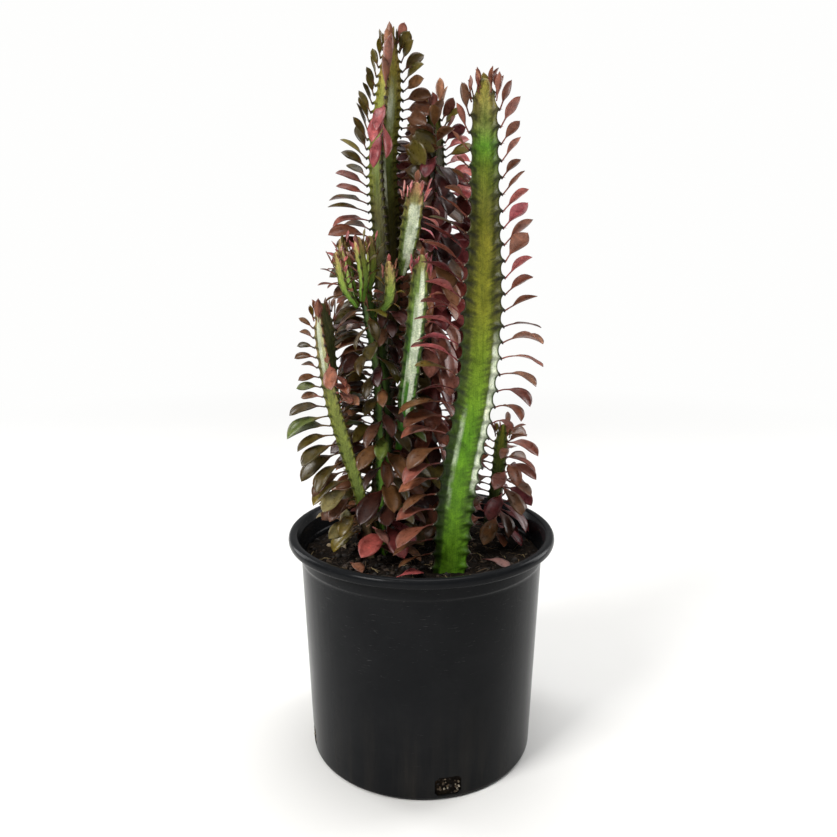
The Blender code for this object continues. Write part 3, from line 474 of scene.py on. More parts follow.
def plan_leaves(stems, solids):
    """Choose every leaf's pose so that it clears the stems, the ridges, the
    soil, the pot and the leaves that are already there."""
    placed, plan = [], {}
    for stem in stems:
        n = stem.count
        own = merged_tree([skin for name, skin in solids if name == stem.name])
        others = merged_tree([skin for name, skin in solids if name != stem.name])
        fan = stem.spec.get("fan", 0)
        lean, roll = stem.spec.get("lean", EVEN), stem.spec.get("roll", EVEN)
        for i in range(3):
            keys = stem.spec["wings"][i]
            for k in range(1, n):
                t = (k + 0.5) / n if k < n - 1 else 1.0
                length, lift, droop = keyed(keys, t)
                rng = random.Random(stem.spec["seed"] * 100003 + i * 1009 + k)
                jitter = [rng.uniform(-1, 1) for _ in range(6)]
                if length < 6:
                    continue
                p0, o0, s0, a0, r0 = stem.wing(k, i)
                p1, o1, s1, a1, r1 = stem.wing(k + 1, i)
                base = (p0 + o0 * r0).lerp(p1 + o1 * r1, SEAT_AT[i])
                (l0, q0, t0), (l1, q1, t1) = ridge_points(stem, k, i), ridge_points(stem, k + 1, i)
                out = (o0 + o1).normalized()
                up = (a0 + a1).normalized()
                side = up.cross(out).normalized()
                length = length * (1 + 0.13 * jitter[0]) * MM
                low = min(1.0, max(0.0, (BROAD_BELOW - base.z) / 0.04))
                width = length * (LEAF_BREADTH + BROAD_EXTRA * low + 0.06 * jitter[1])
                for dlift, dyaw, scale in TRIES:
                    rows = leaf_path(
                        base + out * 0.0006, out, side, up, length * scale,
                        math.radians(lift + 7 * jitter[2] + dlift),
                        math.radians(droop + 12 * jitter[3]),
                        math.radians(13 * jitter[4] + dyaw + fan * (k % 3 - 1) + lean[i]),
                        math.radians(24 * jitter[5] + roll[i]))
                    points = leaf_points(rows, width * scale, 0.0004)
                    if own.overlap(tree_of(points, LEAF_SKIN)):
                        continue
                    seat = [l0, t0, q0, q1, t1, l1]
                    middle = (l0 + q1) / 2
                    points = [middle.lerp(v, 0.85) for v in seat] + points
                    tree, box = tree_of(points, WHOLE_SKIN), box_of(points)
                    if others.overlap(tree):
                        continue
                    if any(boxes_meet(box, other) and tree.overlap(o) for other, o in placed):
                        continue
                    placed.append((box, tree))
                    plan[stem.name, i, k] = (rows, width * scale)
                    break
    return plan


def ridge_points(stem, k, i):
    """Left foot, right foot and top of the ridge line at node k of wing i."""
    point, out, side, along, radius = stem.wing(k, i)
    rise_foot, rise_top, pull = 0.0, 0.0, 0.0
    if k == stem.count:
        rise_foot, rise_top, pull = GAP, GAP + RIDGE_HEIGHT, 0.0006
    foot = point + along * rise_foot + out * (radius - RIDGE_HEIGHT)
    return [foot - side * RIDGE_HALF_WIDTH, foot + side * RIDGE_HALF_WIDTH,
            point + along * rise_top + out * (radius - pull)]


def ridge_skin(stem, plan=None):
    """Ridge lines, tip and (with a plan) leaves of a stem as one closed skin."""
    verts, faces = [], []
    n = stem.count
    rings = {}
    for i in range(3):
        for k in range(1, n + 1):
            rings[i, k] = [len(verts) + j for j in range(3)]
            verts += ridge_points(stem, k, i)
    for i in range(3):
        low = rings[i, 1]
        faces.append([low[0], low[1], low[2]])
        for k in range(1, n):
            (l0, r0, t0), (l1, r1, t1) = rings[i, k], rings[i, k + 1]
            faces.append([l0, l1, r1, r0])
            entry = plan.get((stem.name, i, k)) if plan else None
            if not entry:
                faces += [[l0, t0, t1, l1], [t0, r0, r1, t1]]
                continue
            rows, width = entry
            a = len(verts)
            verts += leaf_points(rows, width)
            under, right, left = a, a + 1, a + 2
            faces += [[t0, r0, under], [r0, right, under], [r0, r1, right], [r1, t1, right],
                      [t1, left, right], [t1, l1, left], [l1, l0, left], [l0, under, left],
                      [l0, t0, under]]
            faces += [[a + j for j in face] for face in LEAF_SKIN]
    tops = [rings[i, n] for i in range(3)]
    faces.append([tops[2][1], tops[2][0], tops[1][1], tops[1][0], tops[0][1], tops[0][0]])
    point, along, e1, e2, radius, turn = stem.frames[n]
    apex = len(verts)
    verts.append(point + along * (radius * 0.9))
    for i in range(3):
        (l0, r0, t0), (l1, r1, t1) = tops[i], tops[(i + 1) % 3]
        faces.append([r0, l1, t1, t0])
        faces.append([t0, t1, apex])
    return verts, faces


def fallen_skin(place, heading, length):
    """A dropped leaf lying flat on the soil."""
    a = math.radians(heading)
    ahead, across = Vector((math.cos(a), math.sin(a), 0)), Vector((-math.sin(a), math.cos(a), 0))
    start = Vector((place[0] * MM, place[1] * MM, SOIL_LEVEL + GAP))
    length *= MM
    rim = []
    for s, w in ((0.0, 0.0), (0.25, 0.05), (0.5, 0.17), (0.72, 0.23), (0.9, 0.15), (1.0, 0.0)):
        rim.append((s, w))
    outline = [start + ahead * (s * length) + across * (w * length) for s, w in rim]
    outline += [start + ahead * (s * length) - across * (w * length) for s, w in rim[-2:0:-1]]
    m = len(outline)
    lift = Vector((0, 0, 0.0009))
    verts = outline + [p + lift for p in outline]
    faces = [list(range(m - 1, -1, -1)), list(range(m, 2 * m))]
    faces += [[j, (j + 1) % m, m + (j + 1) % m, m + j] for j in range(m)]
    return verts, faces


def merged_tree(pieces):
    verts, faces = [], []
    for v, f in pieces:
        faces += [tuple(i + len(verts) for i in face) for face in f]
        verts += [tuple(p) for p in v]
    return BVHTree.FromPolygons(verts, faces, all_triangles=False)


def all_solids(stems):
    """Every solid but the leaves, under the name of what it belongs to."""
    solids = [("pot", pot_skin()), ("soil", soil_skin())]
    solids += [(name, fallen_skin(*where)) for name, where in FALLEN.items()]
    for stem in stems:
        solids += [(stem.name, stem_mesh(stem)), (stem.name, ridge_skin(stem))]
    return solids


# ------------------------------------------------------------ mesh helpers
def clamp(x, low=0.0, high=1.0):
    return low if x < low else high if x > high else x


def mix(a, b, f):
    return tuple(p + (q - p) * f for p, q in zip(a, b))


def step01(a, b, x):
    t = clamp((x - a) / (b - a))
    return t * t * (3 - 2 * t)


def new_piece(name, verts, faces, mats, colours=None, slots=None, smooth=True):
    mesh = bpy.data.meshes.new(name)
    mesh.from_pydata([tuple(v) for v in verts], [], faces)
    mesh.update()
    for m in mats:
        mesh.materials.append(m)
    if colours is not None:
        layer = mesh.color_attributes.new("tint", 'FLOAT_COLOR', 'POINT')
        flat = np.ones((len(verts), 4), dtype=np.float32)
        flat[:, :3] = np.asarray(colours, dtype=np.float32)
        layer.data.foreach_set("color", flat.ravel())
        mesh.color_attributes.active_color = layer
    if slots is not None:
        mesh.polygons.foreach_set("material_index", slots)
    if smooth:
        mesh.shade_smooth()
    obj = bpy.data.objects.new(name, mesh)
    bpy.context.scene.collection.objects.link(obj)
    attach(obj, "root")
    return obj


def face_out(obj):
    """Turn a closed mesh's faces outwards."""
    bm = bmesh.new()
    bm.from_mesh(obj.data)
    bmesh.ops.recalc_face_normals(bm, faces=bm.faces[:])
    bm.to_mesh(obj.data)
    bm.free()
    return obj


# --------------------------------------------------------------- materials
class Net:
    def __init__(self, name):
        self.mat = bpy.data.materials.new(name)
        self.mat.use_nodes = True
        self.tree = self.mat.node_tree
        self.shader = self.tree.nodes["Principled BSDF"]

    def node(self, kind, **props):
        n = self.tree.nodes.new(kind)
        for key, value in props.items():
            setattr(n, key, value)
        return n

    def link(self, a, b):
        self.tree.links.new(a, b)

    def noise(self, scale, detail=4.0, rough=0.55, distortion=0.0, stretch=None):
        coord = self.node("ShaderNodeTexCoord")
        n = self.node("ShaderNodeTexNoise")
        n.inputs["Scale"].default_value = scale
        n.inputs["Detail"].default_value = detail
        n.inputs["Roughness"].default_value = rough
        n.inputs["Distortion"].default_value = distortion
        if stretch:
            m = self.node("ShaderNodeMapping")
            m.inputs["Scale"].default_value = stretch
            self.link(coord.outputs["Object"], m.inputs["Vector"])
            self.link(m.outputs["Vector"], n.inputs["Vector"])
        else:
            self.link(coord.outputs["Object"], n.inputs["Vector"])
        return n.outputs["Fac"]

    def ramp(self, fac, stops):
        n = self.node("ShaderNodeValToRGB")
        ramp = n.color_ramp
        while len(ramp.elements) < len(stops):
            ramp.elements.new(0.5)
        for e, (pos, col) in zip(ramp.elements, stops):
            e.position = pos
            e.color = (*col, 1.0) if len(col) == 3 else col
        self.link(fac, n.inputs["Fac"])
        return n.outputs["Color"]

    def range(self, fac, low, high, a=0.0, b=1.0):
        n = self.node("ShaderNodeMapRange")
        n.inputs["From Min"].default_value = a
        n.inputs["From Max"].default_value = b
        n.inputs["To Min"].default_value = low
        n.inputs["To Max"].default_value = high
        self.link(fac, n.inputs["Value"])
        return n.outputs["Result"]

    def blend(self, kind, fac, a, b):
        n = self.node("ShaderNodeMix", data_type='RGBA', blend_type=kind)
        if isinstance(fac, (int, float)):
            n.inputs["Factor"].default_value = fac
        else:
            self.link(fac, n.inputs["Factor"])
        for sock, value in ((n.inputs[6], a), (n.inputs[7], b)):
            if isinstance(value, tuple):
                sock.default_value = (*value, 1.0)
            else:
                self.link(value, sock)
        return n.outputs[2]

    def tint(self):
        n = self.node("ShaderNodeVertexColor", layer_name="tint")
        return n.outputs["Color"]

    def bump(self, height, strength, distance, under=None):
        n = self.node("ShaderNodeBump")
        n.inputs["Strength"].default_value = strength
        n.inputs["Distance"].default_value = distance
        self.link(height, n.inputs["Height"])
        if under is not None:
            self.link(under, n.inputs["Normal"])
        return n.outputs["Normal"]


def stem_material(name, gloss, shine=0.22):
    """Waxy skin: the tint with fine flecks, soft blotches and a faint grain."""
    m = Net(name)
    flecks = m.noise(950, 3, 0.6)
    blotch = m.noise(130, 5, 0.6, 0.4, (1, 1, 0.55))
    dark = m.blend('MULTIPLY', 1.0, m.tint(),
                   m.ramp(blotch, [(0.32, (0.66, 0.68, 0.60)), (0.5, (1, 1, 1)),
                                   (0.70, (1.25, 1.2, 1.12))]))
    colour = m.blend('MULTIPLY', 1.0, dark,
                     m.ramp(flecks, [(0.30, (0.66, 0.70, 0.60)), (0.5, (1, 1, 1)),
                                     (0.72, (1.28, 1.26, 1.14))]))
    brushed = m.noise(560, 3, 0.6, 0.15, (1, 1, 0.06))
    colour = m.blend('MULTIPLY', 1.0, colour,
                     m.ramp(brushed, [(0.30, (0.70, 0.76, 0.66)), (0.48, (1, 1, 1)),
                                      (0.70, (1.14, 1.12, 1.10))]))
    m.link(colour, m.shader.inputs["Base Color"])
    m.link(m.range(blotch, gloss - 0.05, gloss + 0.14, 0.3, 0.7), m.shader.inputs["Roughness"])
    m.shader.inputs["Specular IOR Level"].default_value = shine
    m.shader.inputs["Subsurface Weight"].default_value = 0.04
    m.shader.inputs["Subsurface Radius"].default_value = (0.003, 0.005, 0.001)
    m.shader.inputs["Subsurface Scale"].default_value = 0.3
    grain = m.bump(flecks, 0.30, 0.0005)
    m.link(m.bump(blotch, 0.35, 0.0012, grain), m.shader.inputs["Normal"])
    return m.mat


def leaf_material():
    m = Net("leaf_skin")
    mottle = m.noise(210, 4, 0.6, 0.5)
    fine = m.noise(1300, 2, 0.6)
    colour = m.blend('MULTIPLY', 1.0, m.tint(),
                     m.ramp(mottle, [(0.28, (0.60, 0.55, 0.55)), (0.5, (1.10, 1.09, 1.08)),
                                     (0.74, (1.65, 1.55, 1.45))]))
    colour = m.blend('MULTIPLY', 1.0, colour,
                     m.ramp(fine, [(0.3, (0.84, 0.84, 0.84)), (0.7, (1.12, 1.12, 1.12))]))
    m.link(colour, m.shader.inputs["Base Color"])
    m.link(m.range(mottle, 0.24, 0.42, 0.3, 0.7), m.shader.inputs["Roughness"])
    m.shader.inputs["Specular IOR Level"].default_value = 0.30
    m.shader.inputs["Subsurface Weight"].default_value = 0.05
    m.shader.inputs["Subsurface Radius"].default_value = (0.003, 0.001, 0.001)
    m.shader.inputs["Subsurface Scale"].default_value = 0.4
    m.link(m.bump(mottle, 0.3, 0.0006), m.shader.inputs["Normal"])
    return m.mat


def spine_material():
    m = Net("spine_horn")
    n = m.noise(700, 3)
    m.link(m.blend('MULTIPLY', 1.0, m.tint(), m.ramp(n, [(0.3, (0.6, 0.6, 0.6)), (0.7, (1.3, 1.25, 1.2))])),
           m.shader.inputs["Base Color"])
    m.link(m.range(n, 0.45, 0.65, 0.3, 0.7), m.shader.inputs["Roughness"])
    return m.mat


def wood_material():
    m = Net("dry_bark")
    streak = m.noise(160, 5, 0.65, 0.6, (1, 1, 0.22))
    m.link(m.ramp(streak, [(0.25, (0.075, 0.055, 0.032)), (0.5, (0.24, 0.19, 0.12)),
                           (0.75, (0.46, 0.40, 0.29))]), m.shader.inputs["Base Color"])
    m.link(m.range(streak, 0.6, 0.85, 0.3, 0.7), m.shader.inputs["Roughness"])
    m.link(m.bump(streak, 0.7, 0.0012), m.shader.inputs["Normal"])
    return m.mat


def soil_material():
    m = Net("potting_peat")
    coarse = m.noise(170, 6, 0.7, 0.3)
    fine = m.noise(850, 4, 0.7)
    base = m.ramp(coarse, [(0.28, (0.0025, 0.0018, 0.0012)), (0.48, (0.0085, 0.0055, 0.0035)),
                           (0.62, (0.022, 0.014, 0.008)), (0.80, (0.055, 0.036, 0.021))])
    colour = m.blend('MULTIPLY', 1.0, base,
                     m.ramp(fine, [(0.25, (0.4, 0.4, 0.4)), (0.5, (1, 1, 1)), (0.8, (1.9, 1.7, 1.5))]))
    m.link(colour, m.shader.inputs["Base Color"])
    m.link(m.range(fine, 0.78, 0.98, 0.3, 0.7), m.shader.inputs["Roughness"])
    m.shader.inputs["Specular IOR Level"].default_value = 0.12
    m.link(m.bump(coarse, 0.8, 0.003, m.bump(fine, 0.7, 0.0012)), m.shader.inputs["Normal"])
    return m.mat


def crumb_material():
    m = Net("peat_crumbs")
    n = m.noise(420, 4, 0.7)
    colour = m.blend('MULTIPLY', 1.0, m.tint(),
                     m.ramp(n, [(0.3, (0.45, 0.45, 0.45)), (0.7, (1.5, 1.45, 1.4))]))
    m.link(colour, m.shader.inputs["Base Color"])
    m.link(m.range(n, 0.75, 0.95, 0.3, 0.7), m.shader.inputs["Roughness"])
    m.link(m.bump(n, 0.8, 0.0015), m.shader.inputs["Normal"])
    return m.mat


def pot_material():
    """Black moulded polypropylene: a sheen that varies, rubbed patches, and a painted brownish reflection towards the
    bottom.
    """
    m = Net("nursery_plastic")
    cloud = m.noise(22, 5, 0.6, 0.3)
    grain = m.noise(1500, 2, 0.5)
    streak = m.noise(60, 4, 0.65, 0.2, (1, 1, 0.07))
    scuff = m.noise(240, 5, 0.70, 0.6, (0.5, 0.5, 3.0))
    mask = m.range(scuff, 0.0, 1.0, 0.62, 0.74)
    coord = m.node("ShaderNodeTexCoord")
    split = m.node("ShaderNodeSeparateXYZ")
    m.link(coord.outputs["Object"], split.inputs["Vector"])
    low = m.range(split.outputs["Z"], 1.0, 0.0, 0.0, 0.09)
    worn = m.node("ShaderNodeMath", operation='MULTIPLY')
    m.link(mask, worn.inputs[0])
    m.link(m.range(split.outputs["Z"], 0.15, 1.0, 0.09, 0.13), worn.inputs[1])
    # painted reflection: a streaky brownish tint towards the bottom of the wall
    low_reflection = m.node("ShaderNodeMath", operation='MULTIPLY')
    m.link(low, low_reflection.inputs[0])
    m.link(m.range(streak, 0.0, 1.0, 0.45, 0.75), low_reflection.inputs[1])
    base = m.ramp(cloud, [(0.3, (0.0060, 0.0066, 0.0076)), (0.7, (0.0098, 0.0104, 0.0115))])
    # the base colour with the painted brownish reflection low down
    with_low_reflection = m.blend('MIX', m.range(low_reflection.outputs[0], 0.0, 0.45), base, (0.040, 0.034, 0.027))
    rub = m.blend('MIX', m.range(worn.outputs[0], 0.0, 0.62), with_low_reflection, (0.080, 0.080, 0.078))
    m.link(rub, m.shader.inputs["Base Color"])
    rough = m.node("ShaderNodeMath", operation='ADD')
    m.link(m.range(cloud, 0.17, 0.25, 0.3, 0.7), rough.inputs[0])
    m.link(m.range(mask, 0.0, 0.03), rough.inputs[1])
    m.link(rough.outputs[0], m.shader.inputs["Roughness"])
    m.shader.inputs["Specular IOR Level"].default_value = 0.07
    m.link(m.bump(streak, 0.10, 0.0012, m.bump(grain, 0.10, 0.0002)), m.shader.inputs["Normal"])
    return m.mat


def floor_material():
    """Pale floor that fades into the pale surroundings."""
    m = Net("pale_floor")
    n = m.noise(3, 4)
    m.link(m.ramp(n, [(0.3, (0.80, 0.795, 0.78)), (0.7, (0.83, 0.825, 0.81))]),
           m.shader.inputs["Base Color"])
    m.shader.inputs["Roughness"].default_value = 0.9
    m.shader.inputs["Specular IOR Level"].default_value = 0.0
    coord = m.node("ShaderNodeTexCoord")
    flat = m.node("ShaderNodeVectorMath", operation='MULTIPLY')
    m.link(coord.outputs["Object"], flat.inputs[0])
    flat.inputs[1].default_value = (1, 1, 0)
    away = m.node("ShaderNodeVectorMath", operation='LENGTH')
    m.link(flat.outputs[0], away.inputs[0])
    far = m.node("ShaderNodeEmission")
    far.inputs["Color"].default_value = (*PALE, 1)
    far.inputs["Strength"].default_value = 1.0
    fade = m.node("ShaderNodeMapRange", interpolation_type='SMOOTHSTEP')
    m.link(away.outputs["Value"], fade.inputs["Value"])
    fade.inputs["From Min"].default_value = 0.35
    fade.inputs["From Max"].default_value = 1.9
    seen = m.node("ShaderNodeMixShader")
    m.link(fade.outputs["Result"], seen.inputs[0])
    m.link(m.shader.outputs[0], seen.inputs[1])
    m.link(far.outputs[0], seen.inputs[2])
    out = m.tree.nodes["Material Output"]
    m.link(seen.outputs[0], out.inputs["Surface"])
    return m.mat


PALE = (0.992, 0.992, 0.985)
MAT_STEM = stem_material("stem_skin", 0.38)
MAT_YOUNG = stem_material("young_skin", 0.36)
MAT_DULL = stem_material("shaded_skin", 0.50, 0.08)
DULL_STEMS = ("tall", "middle", "centre")
MAT_LEAF = leaf_material()
MAT_SPINE = spine_material()
MAT_WOOD = wood_material()
MAT_SOIL = soil_material()
MAT_CRUMB = crumb_material()
MAT_POT = pot_material()

# ------------------------------------------------------------------- stems
SUB = 14                     # rings between two leaf nodes

HOLLOW = 0.36                # how deep the hollows between the wings go
SINK = 0.010                 # how far a standing stem goes into the soil

# Skin colours: (place along the stem, floor of the hollow, flank, wing edge)
LIME = (0.105, 0.240, 0.012)
GRASS = (0.075, 0.190, 0.010)
LEAFY = (0.040, 0.090, 0.010)
OLIVE = (0.160, 0.165, 0.018)
BRONZE = (0.060, 0.064, 0.012)
MOSS = (0.055, 0.080, 0.014)
KHAKI = (0.220, 0.190, 0.055)
DUSK = (0.014, 0.018, 0.008)
PALE_GREEN = (0.200, 0.300, 0.080)
EDGE = (0.024, 0.016, 0.008)
# painted highlight: the whitish glare colour laid on the lit flanks
PAINTED_GLARE = (0.720, 0.780, 0.640)
SKIN = {
    "right": [(0.0, (0.085, 0.190, 0.012), GRASS, GRASS), (0.12, LIME, (0.060, 0.130, 0.010), LEAFY),
              (0.30, (0.095, 0.240, 0.010), (0.060, 0.120, 0.012), LEAFY),
              (0.46, (0.150, 0.230, 0.014), (0.070, 0.090, 0.014), LEAFY),
              (0.56, (0.165, 0.175, 0.014), (0.070, 0.072, 0.010), BRONZE),
              (0.70, (0.150, 0.145, 0.013), (0.056, 0.054, 0.009), BRONZE),
              (0.78, (0.110, 0.120, 0.016), (0.060, 0.062, 0.012), BRONZE),
              (0.84, (0.120, 0.160, 0.016), (0.070, 0.095, 0.014), MOSS),
              (0.885, (0.100, 0.240, 0.020), (0.080, 0.170, 0.018), MOSS),
              (0.92, (0.170, 0.210, 0.050), (0.110, 0.125, 0.028), BRONZE),
              (0.96, (0.210, 0.200, 0.050), (0.150, 0.125, 0.032), KHAKI),
              (1.0, (0.30, 0.26, 0.05), (0.24, 0.17, 0.045), KHAKI)],
    "tall": [(0.0, (0.050, 0.040, 0.012), (0.044, 0.034, 0.010), BRONZE),
             (0.55, (0.060, 0.050, 0.013), (0.048, 0.038, 0.010), BRONZE),
             (0.68, (0.066, 0.062, 0.016), (0.048, 0.042, 0.012), BRONZE),
             (0.78, (0.13, 0.17, 0.045), (0.11, 0.11, 0.022), BRONZE),
             (0.88, (0.20, 0.22, 0.045), (0.18, 0.16, 0.028), KHAKI),
             (0.95, (0.25, 0.21, 0.040), (0.25, 0.18, 0.040), KHAKI),
             (1.0, (0.24, 0.19, 0.06), (0.26, 0.17, 0.07), KHAKI)],
    "middle": [(0.0, (0.026, 0.018, 0.006), (0.024, 0.014, 0.005), DUSK),
               (0.6, (0.026, 0.014, 0.006), (0.022, 0.010, 0.005), EDGE),
               (0.9, (0.05, 0.05, 0.018), (0.04, 0.035, 0.012), BRONZE), (1.0, OLIVE, MOSS, KHAKI)],
    "left": [(0.0, (0.10, 0.08, 0.05), (0.11, 0.08, 0.05), EDGE), (0.14, (0.12, 0.09, 0.05), (0.11, 0.08, 0.04), EDGE),
             (0.17, (0.12, 0.18, 0.03), (0.13, 0.19, 0.03), OLIVE),
             (0.6, (0.19, 0.22, 0.045), (0.17, 0.19, 0.04), OLIVE),
             (0.74, (0.16, 0.17, 0.04), (0.16, 0.14, 0.04), KHAKI),
             (0.9, (0.18, 0.18, 0.08), (0.17, 0.15, 0.06), (0.24, 0.12, 0.05)),
             (1.0, (0.22, 0.20, 0.09), (0.24, 0.17, 0.07), (0.26, 0.13, 0.05))],
    "centre": [(0.0, GRASS, LEAFY, MOSS), (0.3, (0.10, 0.22, 0.03), LEAFY, MOSS),
               (0.5, (0.040, 0.075, 0.012), (0.022, 0.036, 0.008), DUSK),
               (1.0, (0.06, 0.11, 0.02), (0.03, 0.05, 0.01), MOSS)],
    "rear": [(0.0, DUSK, DUSK, EDGE), (0.6, (0.05, 0.07, 0.015), MOSS, BRONZE), (1.0, OLIVE, MOSS, KHAKI)],
    "branch_upper": [(0.0, PALE_GREEN, (0.13, 0.20, 0.05), MOSS),
                     (0.6, (0.22, 0.30, 0.10), (0.15, 0.19, 0.05), OLIVE),
                     (0.88, (0.26, 0.23, 0.08), (0.26, 0.17, 0.07), KHAKI),
                     (1.0, (0.34, 0.19, 0.10), (0.34, 0.16, 0.09), KHAKI)],
    "branch_centre": [(0.0, (0.03, 0.13, 0.008), (0.03, 0.12, 0.008), GRASS),
                      (0.2, (0.045, 0.19, 0.012), (0.04, 0.13, 0.010), MOSS),
                      (0.6, (0.10, 0.23, 0.035), (0.06, 0.13, 0.02), MOSS),
                      (0.9, (0.18, 0.25, 0.07), (0.13, 0.17, 0.04), OLIVE),
                      (1.0, (0.24, 0.22, 0.07), (0.22, 0.15, 0.06), KHAKI)],
    "shoot": [(0.0, (0.13, 0.28, 0.035), (0.12, 0.24, 0.03), OLIVE),
              (0.55, (0.24, 0.32, 0.055), (0.23, 0.28, 0.06), OLIVE),
              (1.0, (0.36, 0.26, 0.10), (0.38, 0.21, 0.11), KHAKI)],
}

# Patches painted over the wing flanks: the pale, whitish ones are painted highlights (glare) and the near-black ones
# painted shade.
# (wing, side, from, to along the stem, from, to across, strength, colour)
PATCHES = {
    "right": [(0, -1, 0.17, 0.53, 0.08, 0.40, 0.90, PAINTED_GLARE),
              (2, 1, 0.21, 0.37, 0.54, 0.70, 0.60, PAINTED_GLARE), (2, 1, 0.12, 0.24, 0.52, 0.66, 0.40, PAINTED_GLARE),
              # painted shade on both flanks of wing 2, low down
              (2, 1, -0.3, 0.33, -0.2, 0.52, 0.92, (0.010, 0.017, 0.004)),
              (2, 1, 0.25, 0.55, -0.2, 0.50, 0.55, (0.030, 0.050, 0.010)),
              (2, -1, -0.3, 0.5, -0.2, 1.2, 0.90, (0.010, 0.014, 0.004))],
    "tall": [(0, 1, 0.82, 0.94, 0.45, 1.1, 0.70, PAINTED_GLARE), (1, -1, 0.82, 0.92, 0.70, 1.1, 0.40, PAINTED_GLARE),
             (0, 1, 0.68, 0.81, 0.25, 0.70, 0.80, PAINTED_GLARE), (2, 1, 0.60, 0.67, 0.2, 1.0, 0.60, PALE_GREEN),
             (2, 1, 0.70, 0.95, 0.1, 0.9, 0.55, (0.19, 0.21, 0.035))],
    # painted light on the face turned to the left-front
    "left": [(0, -1, 0.74, 1.1, 0.15, 1.1, 0.60, (0.42, 0.44, 0.24)), (2, 1, 0.74, 1.1, 0.5, 1.1, 0.55, PAINTED_GLARE),
             # painted shade on the face turned to the right
             (0, 1, 0.66, 1.1, 0.05, 1.2, 0.80, (0.020, 0.030, 0.008)),
             (1, -1, 0.66, 1.1, -0.2, 1.2, 0.85, (0.020, 0.030, 0.008))],
    "branch_upper": [(0, -1, -0.1, 0.84, 0.30, 1.1, 0.92, PAINTED_GLARE), (2, 1, 0.15, 0.85, 0.62, 1.1, 0.80, PAINTED_GLARE)],
    "branch_centre": [(0, -1, 0.16, 0.98, 0.45, 1.1, 0.92, PAINTED_GLARE), (2, 1, 0.36, 0.85, 0.74, 1.1, 0.85, PAINTED_GLARE),
                      (2, 1, 0.12, 0.55, 0.50, 0.66, 0.60, PAINTED_GLARE)],
    "centre": [(0, 1, 0.62, 0.78, 0.3, 1.1, 0.7, (0.14, 0.26, 0.06)),
               (0, -1, 0.18, 0.34, 0.3, 1.1, 0.7, (0.14, 0.30, 0.04))],
}


def patch_amount(patch, t, lateral, streak):
    wing, sign, t0, t1, a, b, strength, colour = patch
    lane = lateral + 0.05 * streak
    run = t + 0.012 * streak
    return (strength * step01(t0, t0 + 0.05, run) * (1 - step01(t1 - 0.07, t1, run))
            * step01(a - 0.03, a + 0.05, lane) * (1 - step01(b - 0.06, b + 0.03, lane)))


def skin_row(keys, t):
    for a, b in zip(keys, keys[1:]):
        if t <= b[0]:
            f = clamp((t - a[0]) / (b[0] - a[0]))
            return [mix(p, q, f) for p, q in zip(a[1:], b[1:])]
    return list(keys[-1][1:])


def chevron(j, i, lateral):
    """Dark feathering that runs inwards and down from every leaf node."""
    phase = (j / SUB - SEAT_AT[i] + 0.5) % 1.0 - 0.5
    q = abs(phase + 0.62 * (lateral - 0.08))
    q = min(q, abs(phase - 1 + 0.62 * (lateral - 0.08)))
    return (1 - step01(0.05, 0.27, q)) * (1 - step01(0.30, 0.66, lateral)) * step01(0.02, 0.10, lateral)


def node_distance(j, i):
    """Distance along a wing to its nearest leaf node, in node spacings."""
    phase = (j / SUB - SEAT_AT[i]) % 1.0
    return min(phase, 1.0 - phase)


